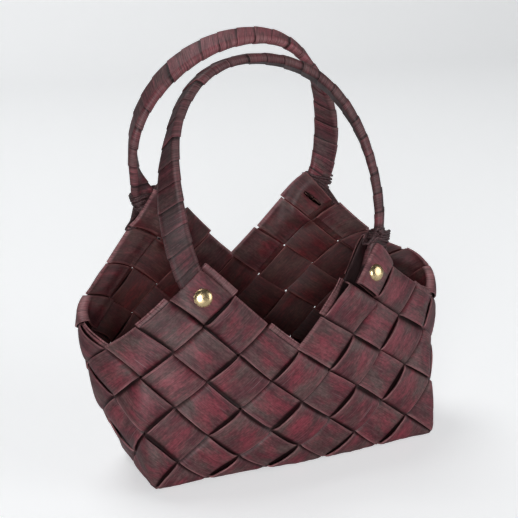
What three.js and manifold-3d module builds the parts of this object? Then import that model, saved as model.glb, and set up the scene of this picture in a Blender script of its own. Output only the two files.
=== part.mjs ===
// Plaited veneer basket with four rim peaks and two riveted hoop handles.
// Millimetres, +Z up, X along the basket, front towards -Y, origin on the floor under the base.
import * as THREE from "three";
import { mergeVertices } from "three/addons/utils/BufferGeometryUtils.js";
import Module from "manifold-3d";

const wasm = await Module();
wasm.setup();

// Weave: fourteen strips run diagonally, seven each way, from rim to rim under the base
const STRIP_PITCH = 20;
const STRIP_GAP = 1.6;
const STRIP_THICKNESS = 0.6;
const LAYER_CLEARANCE = 0.5;
const STRIPS_EACH_WAY = 7;

// Base rectangle, in cells measured corner to corner
const BASE_LENGTH = 155.6;
const BASE_WIDTH = 53.2;
const CELLS_LONG = 5;
const CELLS_WIDE = 2;

// Wall: an upright rectangle at the base that turns into an oval further up
const OVAL_HALF_LENGTH = 91.4;
const OVAL_HALF_WIDTH = 50.4;
const OVAL_NARROWING_PER_LEVEL = 2.02;
const WALL_SETBACK_PER_LEVEL = 1.9;
const LEVELS_TO_OVAL = 6.85;
const LEVEL_RISE = { mean: 14.4, sides: -2.8, quarters: 0.34 };
const LEVEL_RISE_GROWTH = { mean: -0.264, sides: 0.434, quarters: -0.108 };

// Rim: levels at the middle of the long sides, the peaks and the dips between them
const RIM = [
  { at: 0, level: 5 },
  { at: 1.5, level: 8 },
  { at: 3, level: 5 },
  { at: 5.5, level: 10 },
  { at: 7, level: 7 },
];
const FOLD_SETBACK = 0.6;
const FOLD_REACH = 0.3;
const TAIL_CLEARANCE = 0.4;
const TAIL_END_GAP = 1.6;

// Handle pockets: the peak cell opens so that the handle end fits between its two layers
const POCKET_DEPTH = 3.0;
const POCKET_SPREAD = 32;

// Handles: a flat band bent to a hoop, twisted near its feet and wrapped with veneer
const BAND_WIDTH = 11;
const BAND_THICKNESS = 2.6;
const BAND_TAIL = 8;
const BAND_STEPS = 56;
const SETTLE_LENGTH = 12;
const FOOT_TWIST_START = 8;
const FOOT_TWIST_LENGTH = 18;
const FRONT_HOOP = {
  height: 109.7, crownReach: 59, sway: -2, lean: 21, faceTilt: 11,
  left: { reach: 26, tilt: 33, twistStart: 13, twistLength: 76, footTwistShare: 0 },
  right: { reach: 41, tilt: 33, twistStart: 26, twistLength: 109, footTwistShare: 0.5 },
};
const REAR_HOOP = {
  height: 88, crownReach: 44, sway: 6.5, lean: -7.5, faceTilt: 22,
  left: { reach: 55, tilt: 39, twistStart: 13, twistLength: 80, footTwistShare: 0.5 },
  right: { reach: 29, tilt: 33, twistStart: 9, twistLength: 79, footTwistShare: 0 },
};

// Wrapping: one unbroken veneer ribbon round each band
const WRAP_START = 23;
const WRAP_LEAD = 15.5;
const WRAP_GAP = 1.5;
const WRAP_THICKNESS = 0.6;
const WRAP_CLEARANCE = 0.9;
const WRAP_CORNER = 0.5;
const WRAP_STRANDS = 3;

// Lashings: thin cord round a handle foot
const LASHING_DIAMETER = 1.6;
const LASHING_TURNS = 3;
const LASHING_LEAD = 2.4;
const LASHING_START = 14.5;
const LASHING_CLEARANCE = 0.45;

// Brass rivets with a domed head outside and two bent legs inside
const RIVET_HEAD_DIAMETER = 8.6;
const RIVET_HEAD_HEIGHT = 2.2;
const RIVET_SHANK_DIAMETER = 2.4;
const RIVET_HOLE_CLEARANCE = 0.4;
const RIVET_SEAT_GAP = 0.3;
const RIVET_LEG_SPAN = 12;
const RIVET_LEG_WIDTH = 2.4;
const RIVET_LEG_THICKNESS = 0.7;
const RIVET_SIDES = 14;
const RIVET_DOME_STEPS = 4;

// Values that follow from the sizes above
const HALF = 0.5;
const GAP_SHARE = STRIP_GAP / STRIP_PITCH;
const LAYER_OFFSET = HALF * (STRIP_THICKNESS + LAYER_CLEARANCE);
const FLOOR_LIFT = LAYER_OFFSET + HALF * STRIP_THICKNESS;
const TAIL_OFFSET = LAYER_OFFSET + STRIP_THICKNESS + TAIL_CLEARANCE;
const DEEP_TAIL_OFFSET = TAIL_OFFSET + STRIP_THICKNESS + TAIL_CLEARANCE;
const HALF_LONG = HALF * CELLS_LONG;
const HALF_WIDE = HALF * CELLS_WIDE;
const CELLS_AROUND = 2 * (CELLS_LONG + CELLS_WIDE);
const SLOPE_STEP_SHARE = 0.001;

// Rivet places at the middle of the peak cells, and the slope where the handle leaves each
const PEAKS = {
  front_left: { s: -1.5, k: 7, legSide: -1, tails: 1 },
  front_right: { s: 1.5, k: 7, legSide: 1, tails: 2 },
  rear_left: { s: -5.5, k: 9, legSide: 1, tails: 2 },
  rear_right: { s: 5.5, k: 9, legSide: -1, tails: 1 },
};

const RISING_VENEER = { color: 0x5a2633, roughness: 0.5, metalness: 0 };
const FALLING_VENEER = { color: 0x4a1f2b, roughness: 0.55, metalness: 0 };
const WRAP_VENEER = { color: 0x63303a, roughness: 0.55, metalness: 0 };
const BAND_WOOD = { color: 0x6a4a38, roughness: 0.7, metalness: 0 };
const CORD = { color: 0x2c171b, roughness: 0.8, metalness: 0 };
const BRASS = { color: 0xd2a24a, roughness: 0.25, metalness: 1 };

// Wall surface: s counts cells round the basket from the front middle, k counts half cells up

function around(s) {
  return ((s % CELLS_AROUND) + CELLS_AROUND) % CELLS_AROUND;
}

function fromFront(s) {
  return around(s + HALF * CELLS_AROUND) - HALF * CELLS_AROUND;
}

function basePoint(x, y) {
  return new THREE.Vector2(x * BASE_LENGTH / CELLS_LONG, y * BASE_WIDTH / CELLS_WIDE);
}

function baseEdgePoint(s) {
  const t = around(s + HALF_LONG);
  if (t <= CELLS_LONG) {
    return basePoint(t - HALF_LONG, -HALF_WIDE);
  }
  if (t <= CELLS_LONG + CELLS_WIDE) {
    return basePoint(HALF_LONG, t - CELLS_LONG - HALF_WIDE);
  }
  if (t <= 2 * CELLS_LONG + CELLS_WIDE) {
    return basePoint(CELLS_LONG + CELLS_WIDE + HALF_LONG - t, HALF_WIDE);
  }
  return basePoint(-HALF_LONG, 2 * CELLS_LONG + CELLS_WIDE + HALF_WIDE - t);
}

const ovals = new Map();

function ovalPoint(s, k) {
  if (!ovals.has(k)) {
    const halfWidth = OVAL_HALF_WIDTH - OVAL_NARROWING_PER_LEVEL * k;
    const start = -HALF * Math.PI;
    const end = start + 2 * Math.PI;
    ovals.set(k, new THREE.EllipseCurve(0, 0, OVAL_HALF_LENGTH, halfWidth, start, end));
  }
  return ovals.get(k).getPointAt(around(s) / CELLS_AROUND);
}

function wallPoint(s, k) {
  const settle = 1 - (1 - Math.min(k / LEVELS_TO_OVAL, 1)) ** 2;
  const flat = baseEdgePoint(s).lerp(ovalPoint(s, k), settle);
  const turn = 2 * Math.PI * s / CELLS_AROUND;
  const rise = (r) => r.mean + r.sides * Math.cos(2 * turn) + r.quarters * Math.cos(4 * turn);
  const z = FLOOR_LIFT + k * rise(LEVEL_RISE) + k * k * rise(LEVEL_RISE_GROWTH);
  return new THREE.Vector3(flat.x, flat.y + WALL_SETBACK_PER_LEVEL * k, z);
}

function crossNormal(a, b) {
  return new THREE.Vector3().crossVectors(a, b).normalize();
}

function mitre(a, b) {
  return a.clone().add(b).divideScalar(1 + a.dot(b));
}

// Outward direction at a wall point, lengthened on creases so that layers keep their distance
function wallNormal(s, k) {
  const here = wallPoint(s, k);
  const up = wallPoint(s, k + SLOPE_STEP_SHARE).sub(here);
  const ahead = wallPoint(s + SLOPE_STEP_SHARE, k).sub(here);
  const behind = here.clone().sub(wallPoint(s - SLOPE_STEP_SHARE, k));
  const normal = mitre(crossNormal(ahead, up), crossNormal(behind, up));
  const level = k < SLOPE_STEP_SHARE;
  return level ? mitre(normal.normalize(), new THREE.Vector3(0, 0, -1)) : normal;
}

function cellDistance(s, k, spot) {
  const ds = fromFront(s - spot.s);
  return STRIP_PITCH * Math.hypot(ds * Math.SQRT2, (k - spot.k) / Math.SQRT2);
}

function pocketShare(distance) {
  return Math.max(0, 1 - (distance / POCKET_SPREAD) ** 2) ** 2;
}

function pocketOpening(s, k) {
  const atCorner = pocketShare(STRIP_PITCH / Math.SQRT2);
  const shares = Object.values(PEAKS).map((peak) => pocketShare(cellDistance(s, k, peak)));
  return POCKET_DEPTH * Math.max(...shares) / atCorner;
}

function rimLevel(s) {
  const a = Math.abs(fromFront(s));
  const n = Math.max(1, RIM.findIndex((corner) => corner.at >= a));
  const share = (a - RIM[n - 1].at) / (RIM[n].at - RIM[n - 1].at);
  return THREE.MathUtils.lerp(RIM[n - 1].level, RIM[n].level, share);
}

// Solids

function closedGeometry(points, faces) {
  let volume = 0;
  for (const [a, b, c] of faces) {
    volume += points[a].dot(new THREE.Vector3().crossVectors(points[b], points[c]));
  }
  const index = faces.flatMap(([a, b, c]) => (volume > 0 ? [a, b, c] : [a, c, b]));
  const geometry = new THREE.BufferGeometry();
  const xyz = points.flatMap((p) => [p.x, p.y, p.z]);
  geometry.setAttribute("position", new THREE.Float32BufferAttribute(xyz, 3));
  geometry.setIndex(index);
  return geometry;
}

// Rings of equal length joined to a closed body; turned picks the quads with the other diagonal
function loft(rings, turned = () => false) {
  const sides = rings[0].length;
  const points = rings.flat();
  const faces = [];
  for (let n = 0; n + 1 < rings.length; n += 1) {
    for (let e = 0; e < sides; e += 1) {
      const a = n * sides + e;
      const b = n * sides + (e + 1) % sides;
      const c = b + sides;
      const d = a + sides;
      const pair = turned(n, e) ? [[a, b, d], [b, c, d]] : [[a, b, c], [a, c, d]];
      faces.push(...pair);
    }
  }
  const last = (rings.length - 1) * sides;
  for (let e = 1; e + 1 < sides; e += 1) {
    faces.push([0, e + 1, e], [last, last + e, last + e + 1]);
  }
  return closedGeometry(points, faces);
}

function toManifold(geometry) {
  const merged = geometry.getIndex() ? geometry : mergeVertices(geometry);
  const vertProperties = new Float32Array(merged.getAttribute("position").array);
  const triVerts = new Uint32Array(merged.getIndex().array);
  return new wasm.Manifold(new wasm.Mesh({ numProp: 3, vertProperties, triVerts }));
}

function fromManifold(solid) {
  const mesh = solid.getMesh();
  const geometry = new THREE.BufferGeometry();
  const xyz = new THREE.Float32BufferAttribute(mesh.vertProperties, 3);
  geometry.setAttribute("position", xyz);
  geometry.setIndex(new THREE.Uint32BufferAttribute(mesh.triVerts, 1));
  return geometry;
}

function bare(geometry) {
  geometry.deleteAttribute("normal");
  geometry.deleteAttribute("uv");
  return mergeVertices(geometry);
}

function named(name, geometry, look) {
  const mesh = new THREE.Mesh(geometry, new THREE.MeshStandardMaterial(look));
  mesh.name = name;
  return mesh;
}

// Strips

// A rising strip crosses the base where x - y = order, a falling one where x + y = order.
// Its course q counts cells along it and v runs across it, and past a base edge it climbs the wall.
function stripSpot(strip, q, v) {
  const x = HALF * q + v;
  const y = strip.rising ? HALF * q - strip.order - v : strip.order - HALF * q + v;
  const overEnds = Math.abs(strip.order) > HALF_LONG - HALF_WIDE;
  if (overEnds && x * strip.order > 0 && Math.abs(x) >= HALF_LONG) {
    const middle = Math.sign(x) * (HALF_LONG + HALF_WIDE);
    return { s: middle + Math.sign(x) * y, k: 2 * (Math.abs(x) - HALF_LONG), ends: true };
  }
  if (Math.abs(y) >= HALF_WIDE) {
    const s = y < 0 ? x : HALF * CELLS_AROUND - x;
    return { s, k: 2 * (Math.abs(y) - HALF_WIDE), ends: false };
  }
  return { x, y, ends: false };
}

function stripLayerPoint(spot, offset) {
  if (spot.k === undefined) {
    const flat = basePoint(spot.x, spot.y);
    return new THREE.Vector3(flat.x, flat.y, FLOOR_LIFT - offset);
  }
  const spread = Math.sign(offset) * pocketOpening(spot.s, spot.k);
  const normal = wallNormal(spot.s, spot.k);
  return wallPoint(spot.s, spot.k).addScaledVector(normal, offset + spread);
}

function isOutside(strip, q) {
  return (Math.abs(q) % 2 === 1) === strip.rising;
}

// Where the strip meets the rim: each end is a course value half a cell past a whole number
function rimCourse(strip, way) {
  const middle = 2 * THREE.MathUtils.clamp(strip.order, -HALF_LONG + HALF, HALF_LONG - HALF);
  let q = middle + way * HALF;
  let spot = stripSpot(strip, q, 0);
  while (spot.k === undefined || spot.k < rimLevel(spot.s) - SLOPE_STEP_SHARE) {
    q += way;
    spot = stripSpot(strip, q, 0);
  }
  return q;
}

function peakAt(spot) {
  return Object.values(PEAKS).find((peak) => cellDistance(spot.s, spot.k, peak) < STRIP_GAP);
}

function stripEnd(strip, way) {
  const rim = rimCourse(strip, way);
  const cell = rim - way * HALF;
  const spot = stripSpot(strip, cell, 0);
  const slope = Math.sign(fromFront(stripSpot(strip, rim, 0).s - spot.s));
  const peak = peakAt(spot);
  const outside = isOutside(strip, cell);
  const trimmed = peak !== undefined && outside && peak.legSide === slope;
  const deep = peak !== undefined && peak.tails === 2 && slope > 0;
  return { way, rim, cell, outside, trimmed, tail: deep ? DEEP_TAIL_OFFSET : TAIL_OFFSET };
}

// One ring of four corners: the outer face first, then the inner face
function stripRing(strip, outerAt, innerAt) {
  const reach = HALF * HALF * (1 - GAP_SHARE);
  const corner = (at, v) => {
    const spots = at.offsets.map((offset) => [stripSpot(strip, at.q, v), offset]);
    const points = spots.map(([spot, offset]) => stripLayerPoint(spot, offset));
    return points[0].lerp(points[points.length - 1], points.length > 1 ? HALF : 0);
  };
  return [corner(outerAt, -reach), corner(outerAt, reach), corner(innerAt, reach), corner(innerAt, -reach)];
}

function layerRing(strip, q, offset) {
  const half = HALF * STRIP_THICKNESS;
  return stripRing(strip, { q, offsets: [offset + half] }, { q, offsets: [offset - half] });
}

// The strip's end folds inward over the rim and lies against the inside of the last cell
function foldRings(strip, end) {
  const half = HALF * STRIP_THICKNESS;
  const inward = (distance) => end.rim - end.way * distance / STRIP_PITCH;
  const run = (end.outside ? 1 : -1) * LAYER_OFFSET;
  if (end.trimmed) {
    return [layerRing(strip, end.rim, run)];
  }
  const apex = (distance, side) => ({
    q: inward(distance),
    offsets: [run + side * half, -end.tail - side * half],
  });
  const tailRing = (distance) => stripRing(
    strip,
    { q: inward(distance), offsets: [-end.tail - half] },
    { q: inward(distance), offsets: [-end.tail + half] },
  );
  return [
    layerRing(strip, inward(FOLD_SETBACK), run),
    stripRing(strip, apex(-FOLD_REACH, 1), apex(FOLD_REACH, -1)),
    tailRing(FOLD_SETBACK),
    tailRing(STRIP_PITCH - TAIL_END_GAP),
  ];
}

// In a cell the line between its two triangles stands upright, or lies along the base edge.
// A folded tail runs back along its strip, so its quad takes the other diagonal of the two.
function cellDiagonal(strip, cell) {
  const spot = stripSpot(strip, cell, 0);
  const onEdge = spot.k !== undefined && spot.k < SLOPE_STEP_SHARE;
  return spot.ends !== onEdge;
}

function stripGeometry(strip) {
  const low = stripEnd(strip, -1);
  const high = stripEnd(strip, 1);
  const rings = foldRings(strip, low).reverse();
  const lowDiagonal = cellDiagonal(strip, low.cell);
  const highDiagonal = cellDiagonal(strip, high.cell);
  const diagonals = rings.map((ring, n) => (n === 0 && !low.trimmed ? !lowDiagonal : lowDiagonal));
  const inset = HALF * GAP_SHARE;
  for (let cell = low.cell; cell <= high.cell; cell += 1) {
    const offset = (isOutside(strip, cell) ? 1 : -1) * LAYER_OFFSET;
    if (cell > low.cell) {
      rings.push(layerRing(strip, cell - HALF + inset, offset));
      diagonals.push(cellDiagonal(strip, cell));
    }
    if (cell < high.cell) {
      rings.push(layerRing(strip, cell + HALF - inset, offset));
      diagonals.push(false);
    }
  }
  rings.push(...foldRings(strip, high));
  diagonals.push(highDiagonal, highDiagonal, !highDiagonal);
  return loft(rings, (n, e) => (e === 0 && !diagonals[n]) || (e === 2 && diagonals[n]));
}

function stripPasses(strip, peak) {
  const low = stripEnd(strip, -1).cell;
  const high = stripEnd(strip, 1).cell;
  for (let cell = low; cell <= high; cell += 1) {
    const spot = stripSpot(strip, cell, 0);
    if (spot.k !== undefined && cellDistance(spot.s, spot.k, peak) < STRIP_GAP) {
      return true;
    }
  }
  return false;
}

// Rivets

function rivetSeat(peak) {
  const centre = wallPoint(peak.s, peak.k);
  const normal = wallNormal(peak.s, peak.k).normalize();
  const reach = 1 - GAP_SHARE;
  const depth = (offset) => {
    const top = stripLayerPoint({ s: peak.s, k: peak.k + reach }, offset);
    const bottom = stripLayerPoint({ s: peak.s, k: peak.k - reach }, offset);
    return top.lerp(bottom, HALF).sub(centre).dot(normal);
  };
  const half = HALF * STRIP_THICKNESS;
  const innermost = peak.tails === 2 ? DEEP_TAIL_OFFSET : TAIL_OFFSET;
  return { centre, normal, outer: depth(LAYER_OFFSET + half), inner: depth(-innermost - half) };
}

// Turns a solid made along +Y so that +Y points out of the wall and +Z points up it
function alongNormal(geometry, seat) {
  const side = crossNormal(seat.normal, new THREE.Vector3(0, 0, 1));
  const up = crossNormal(side, seat.normal);
  geometry.applyMatrix4(new THREE.Matrix4().makeBasis(side, seat.normal, up));
  geometry.translate(seat.centre.x, seat.centre.y, seat.centre.z);
  return geometry;
}

function rivetHole(peak) {
  const seat = rivetSeat(peak);
  const radius = HALF * RIVET_SHANK_DIAMETER + RIVET_HOLE_CLEARANCE;
  const length = 2 * (seat.outer - seat.inner);
  const drill = bare(new THREE.CylinderGeometry(radius, radius, length, RIVET_SIDES));
  return toManifold(alongNormal(drill, seat));
}

function rivetGeometry(peak) {
  const seat = rivetSeat(peak);
  const underHead = seat.outer + RIVET_SEAT_GAP;
  const tip = seat.inner - RIVET_SEAT_GAP - HALF * RIVET_LEG_THICKNESS;
  const shank = HALF * RIVET_SHANK_DIAMETER;
  const profile = [new THREE.Vector2(0, tip), new THREE.Vector2(shank, tip), new THREE.Vector2(shank, underHead)];
  for (let n = 0; n < RIVET_DOME_STEPS; n += 1) {
    const turn = HALF * Math.PI * n / RIVET_DOME_STEPS;
    const radius = HALF * RIVET_HEAD_DIAMETER * Math.cos(turn);
    profile.push(new THREE.Vector2(radius, underHead + RIVET_HEAD_HEIGHT * Math.sin(turn)));
  }
  profile.push(new THREE.Vector2(0, underHead + RIVET_HEAD_HEIGHT));
  const body = bare(new THREE.LatheGeometry(profile, RIVET_SIDES));
  const legs = bare(new THREE.BoxGeometry(RIVET_LEG_WIDTH, RIVET_LEG_THICKNESS, RIVET_LEG_SPAN));
  legs.translate(0, tip, 0);
  const whole = toManifold(body).add(toManifold(legs));
  return alongNormal(fromManifold(whole), seat);
}

// Handles

class HoopLine extends THREE.Curve {
  constructor(hoop, left) {
    super();
    this.hoop = hoop;
    this.foot = wallPoint(left.s, left.k);
    const above = wallPoint(left.s, left.k + 1);
    const below = wallPoint(left.s, left.k - 1);
    this.wallLean = Math.atan2(above.y - below.y, above.z - below.z);
    this.lean = THREE.MathUtils.degToRad(hoop.lean);
    this.left = this.sideCurve(hoop.left);
    this.right = this.sideCurve(hoop.right);
  }

  sideCurve(leg) {
    const tilt = THREE.MathUtils.degToRad(leg.tilt);
    const start = new THREE.Vector2(Math.abs(this.foot.x), 0);
    const knee = new THREE.Vector2(Math.sin(tilt), Math.cos(tilt)).multiplyScalar(leg.reach).add(start);
    const crown = new THREE.Vector2(this.hoop.crownReach, this.hoop.height);
    return new THREE.CubicBezierCurve(start, knee, crown, new THREE.Vector2(0, this.hoop.height));
  }

  // The hoop leaves the wall along its slope and settles to its own lean further up
  getPoint(t) {
    const left = t < HALF;
    const flat = left ? this.left.getPoint(2 * t) : this.right.getPoint(2 - 2 * t);
    const settling = SETTLE_LENGTH * (1 - Math.exp(-flat.y / SETTLE_LENGTH));
    const set = flat.y * Math.sin(this.lean) + (Math.sin(this.wallLean) - Math.sin(this.lean)) * settling;
    const x = (left ? -flat.x : flat.x) + this.hoop.sway * flat.y / this.hoop.height;
    return new THREE.Vector3(x, this.foot.y + set, this.foot.z + flat.y * Math.cos(this.lean));
  }
}

function makeHandle(hoop, left) {
  const line = new HoopLine(hoop, left);
  const length = line.getLength();
  const ahead = wallPoint(left.s + SLOPE_STEP_SHARE, left.k).sub(line.foot).normalize();
  const flatToWall = (frame) => Math.atan(ahead.dot(frame.across) / ahead.dot(frame.radial));
  const handle = { hoop, line, length };
  handle.footTurn = flatToWall(hoopFrame(handle, 0));
  handle.crownTurn = Math.sign(hoop.lean) * (HALF * Math.PI + THREE.MathUtils.degToRad(hoop.faceTilt));
  return handle;
}

// Directions at a length along the hoop: the tangent, outward in its plane, and across its plane
function hoopFrame(handle, l) {
  const inside = THREE.MathUtils.clamp(l, 0, handle.length);
  const u = inside / handle.length;
  const along = handle.line.getTangentAt(u);
  const centre = handle.line.getPointAt(u).addScaledVector(along, l - inside);
  const back = new THREE.Vector3(0, 1, 0);
  const across = back.addScaledVector(along, -back.dot(along)).normalize();
  const radial = new THREE.Vector3().crossVectors(along, across);
  return { centre, along, across, radial };
}

function bandFrame(handle, l) {
  const frame = hoopFrame(handle, l);
  const atLeft = l < HALF * handle.length;
  const leg = atLeft ? handle.hoop.left : handle.hoop.right;
  const fromFoot = atLeft ? l : handle.length - l;
  const leaving = THREE.MathUtils.smoothstep((fromFoot - FOOT_TWIST_START) / FOOT_TWIST_LENGTH, 0, 1);
  const early = leg.footTwistShare * leaving;
  const late = THREE.MathUtils.smoothstep((fromFoot - leg.twistStart) / leg.twistLength, 0, 1);
  const share = early + (1 - early) * late;
  const turn = THREE.MathUtils.lerp(handle.footTurn, handle.crownTurn, share);
  const wide = frame.radial.clone().multiplyScalar(Math.cos(turn));
  wide.addScaledVector(frame.across, Math.sin(turn));
  const thick = new THREE.Vector3().crossVectors(frame.along, wide);
  return { ...frame, wide, thick };
}

function bandPoint(handle, l, wide, thick) {
  const frame = bandFrame(handle, l);
  return frame.centre.addScaledVector(frame.wide, wide).addScaledVector(frame.thick, thick);
}

function bandGeometry(handle, peaks) {
  const halfWide = HALF * BAND_WIDTH;
  const halfThick = HALF * BAND_THICKNESS;
  const corners = [[-1, -1], [1, -1], [1, 1], [-1, 1]];
  const rings = [];
  for (let n = 0; n <= BAND_STEPS; n += 1) {
    const l = THREE.MathUtils.lerp(-BAND_TAIL, handle.length + BAND_TAIL, n / BAND_STEPS);
    rings.push(corners.map(([a, b]) => bandPoint(handle, l, a * halfWide, b * halfThick)));
  }
  const drilled = peaks.reduce((solid, peak) => solid.subtract(rivetHole(peak)), toManifold(loft(rings)));
  return fromManifold(drilled);
}

// Section that a wrapping follows: a rectangle with its corners cut off, grown outward
function wrapSection(halfWide, halfThick, corner, grow) {
  const cut = corner - grow * Math.tan(Math.PI / 8);
  const quarter = [[halfWide + grow, halfThick - cut], [halfWide - cut, halfThick + grow]];
  const mirrored = (a, b) => quarter.map(([p, r]) => [a * p, b * r]);
  return [...mirrored(1, 1), ...mirrored(-1, 1).reverse(), ...mirrored(-1, -1), ...mirrored(1, -1).reverse()];
}

// Stations of a winding: the section corner and the length along the band, turn after turn
function windingStations(section, start, lead, turns) {
  const sides = section.length;
  const step = (n) => {
    const [x0, y0] = section[n % sides];
    const [x1, y1] = section[(n + 1) % sides];
    return Math.hypot(x1 - x0, y1 - y0);
  };
  const perimeter = section.reduce((sum, corner, n) => sum + step(n), 0);
  const stations = [];
  let travelled = 0;
  for (let n = 0; n <= turns * sides; n += 1) {
    stations.push({ corner: n % sides, l: start + lead * travelled / perimeter });
    travelled += step(n);
  }
  return stations;
}

function wrapTurns(handle) {
  return Math.floor((handle.length - 2 * WRAP_START - WRAP_LEAD + WRAP_GAP) / WRAP_LEAD);
}

function wrapGeometry(name, handle) {
  const halfWide = HALF * BAND_WIDTH + WRAP_CLEARANCE;
  const halfThick = HALF * BAND_THICKNESS + WRAP_CLEARANCE;
  const inner = wrapSection(halfWide, halfThick, WRAP_CORNER, 0);
  const outer = wrapSection(halfWide, halfThick, WRAP_CORNER, WRAP_THICKNESS);
  const turns = wrapTurns(handle);
  const start = HALF * (handle.length - turns * WRAP_LEAD);
  const reach = HALF * (WRAP_LEAD - WRAP_GAP);
  const across = Array.from({ length: WRAP_STRANDS + 1 }, (_, n) => reach * (2 * n / WRAP_STRANDS - 1));
  const rings = windingStations(inner, start, WRAP_LEAD, turns).map(({ corner, l }) => [
    ...across.map((shift) => bandPoint(handle, l + shift, ...outer[corner])),
    ...across.map((shift) => bandPoint(handle, l - shift, ...inner[corner])),
  ]);
  const edge = (side) => rings.map((ring) => ring[side]);
  printGap(name, leastGap(edge(WRAP_STRANDS), edge(0), inner.length, 0));
  return loft(rings);
}

// Least distance between points on one edge and points a turn later on the other edge
function leastGap(first, second, stationsPerTurn, width) {
  let least = Infinity;
  first.forEach((point, n) => {
    second.slice(n + stationsPerTurn - 2, n + stationsPerTurn + 3).forEach((other) => {
      least = Math.min(least, point.distanceTo(other) - width);
    });
  });
  return least;
}

function printGap(name, gap) {
  console.log(`${name}: least gap to itself ${gap.toFixed(2)} mm`);
}

function lashingGeometry(name, handle, atRight) {
  const radius = HALF * LASHING_DIAMETER;
  const grow = LASHING_CLEARANCE + radius;
  const section = wrapSection(HALF * BAND_WIDTH, HALF * BAND_THICKNESS, WRAP_CORNER, grow);
  const place = (l) => (atRight ? handle.length - l : l);
  const stations = windingStations(section, LASHING_START, LASHING_LEAD, LASHING_TURNS);
  const points = stations.map(({ corner, l }) => bandPoint(handle, place(l), ...section[corner]));
  const run = (a, b) => points[b].clone().sub(points[a]).normalize();
  const last = points.length - 1;
  points.unshift(points[0].clone().addScaledVector(run(0, 1), -LASHING_DIAMETER));
  points.push(points[last + 1].clone().addScaledVector(run(last, last + 1), LASHING_DIAMETER));
  const hub = (n) => bandFrame(handle, place(stations[THREE.MathUtils.clamp(n - 1, 0, last)].l)).centre;
  const rings = points.map((point, n) => {
    const before = points[Math.max(n - 1, 0)];
    const after = points[Math.min(n + 1, points.length - 1)];
    const along = after.clone().sub(before).normalize();
    const out = point.clone().sub(hub(n));
    out.addScaledVector(along, -out.dot(along)).normalize();
    const side = crossNormal(along, out);
    return [0, 1, 2, 3, 4, 5].map((corner) => {
      const turn = corner * Math.PI / 3;
      const spoke = out.clone().multiplyScalar(Math.cos(turn)).addScaledVector(side, Math.sin(turn));
      return point.clone().addScaledVector(spoke, radius);
    });
  });
  printGap(name, leastGap(points, points, section.length, LASHING_DIAMETER));
  return loft(rings);
}

// Assembly

const basket = new THREE.Group();
const span = HALF * (STRIPS_EACH_WAY - 1);

for (const rising of [true, false]) {
  for (let order = -span; order <= span; order += 1) {
    const strip = { rising, order };
    const peaks = Object.values(PEAKS).filter((peak) => stripPasses(strip, peak));
    const solid = peaks.reduce((part, peak) => part.subtract(rivetHole(peak)), toManifold(stripGeometry(strip)));
    const name = `${rising ? "rising" : "falling"}_strip_${order + span + 1}`;
    basket.add(named(name, fromManifold(solid), rising ? RISING_VENEER : FALLING_VENEER));
  }
}

for (const [name, peak] of Object.entries(PEAKS)) {
  basket.add(named(`${name}_rivet`, rivetGeometry(peak), BRASS));
}

const frontHandle = makeHandle(FRONT_HOOP, PEAKS.front_left);
const rearHandle = makeHandle(REAR_HOOP, PEAKS.rear_left);
const frontPeaks = [PEAKS.front_left, PEAKS.front_right];
const rearPeaks = [PEAKS.rear_left, PEAKS.rear_right];
basket.add(named("front_handle_band", bandGeometry(frontHandle, frontPeaks), BAND_WOOD));
basket.add(named("rear_handle_band", bandGeometry(rearHandle, rearPeaks), BAND_WOOD));
basket.add(named("front_handle_wrap", wrapGeometry("front_handle_wrap", frontHandle), WRAP_VENEER));
basket.add(named("rear_handle_wrap", wrapGeometry("rear_handle_wrap", rearHandle), WRAP_VENEER));

const lashings = [
  ["front_right_lashing", frontHandle, true],
  ["rear_left_lashing", rearHandle, false],
  ["rear_right_lashing", rearHandle, true],
];
for (const [name, handle, atRight] of lashings) {
  basket.add(named(name, lashingGeometry(name, handle, atRight), CORD));
}

export default basket;
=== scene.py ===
import math

import bpy
import numpy as np
from bpy.props import FloatProperty, FloatVectorProperty, IntProperty, PointerProperty
from bpy.types import Operator, Panel, PropertyGroup
from mathutils import Matrix, Vector


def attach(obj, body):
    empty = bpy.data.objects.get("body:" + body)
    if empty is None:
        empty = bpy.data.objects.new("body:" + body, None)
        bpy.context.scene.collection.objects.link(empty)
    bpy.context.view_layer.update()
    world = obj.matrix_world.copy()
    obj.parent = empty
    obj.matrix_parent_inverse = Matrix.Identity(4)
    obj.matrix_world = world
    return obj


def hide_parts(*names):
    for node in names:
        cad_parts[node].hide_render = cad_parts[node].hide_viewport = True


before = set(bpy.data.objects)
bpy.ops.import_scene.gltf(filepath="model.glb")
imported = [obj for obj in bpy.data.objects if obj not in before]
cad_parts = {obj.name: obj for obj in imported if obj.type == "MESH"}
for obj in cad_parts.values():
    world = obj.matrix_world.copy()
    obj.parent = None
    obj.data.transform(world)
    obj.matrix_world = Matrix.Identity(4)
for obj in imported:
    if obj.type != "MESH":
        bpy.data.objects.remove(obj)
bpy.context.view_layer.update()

bl_info = {
    "name": "Plaited veneer basket",
    "version": (1, 0, 0),
    "blender": (4, 5, 0),
    "location": "View3D > Sidebar > Basket",
    "description": "A small basket plaited on the bias from dyed veneer, with two wound hoop handles",
    "category": "Object",
}

TAU = 2 * math.pi


def length(name, description, default):
    return FloatProperty(name=name, description=description, default=default, unit="LENGTH", precision=5)


def colour(name, description, default):
    return FloatVectorProperty(
        name=name, description=description, default=default, size=3, subtype="COLOR", min=0, max=1
    )


def number(name, description, default):
    return FloatProperty(name=name, description=description, default=default)


def count(name, description, default):
    return IntProperty(name=name, description=description, default=default, min=1)


# Settings

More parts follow.
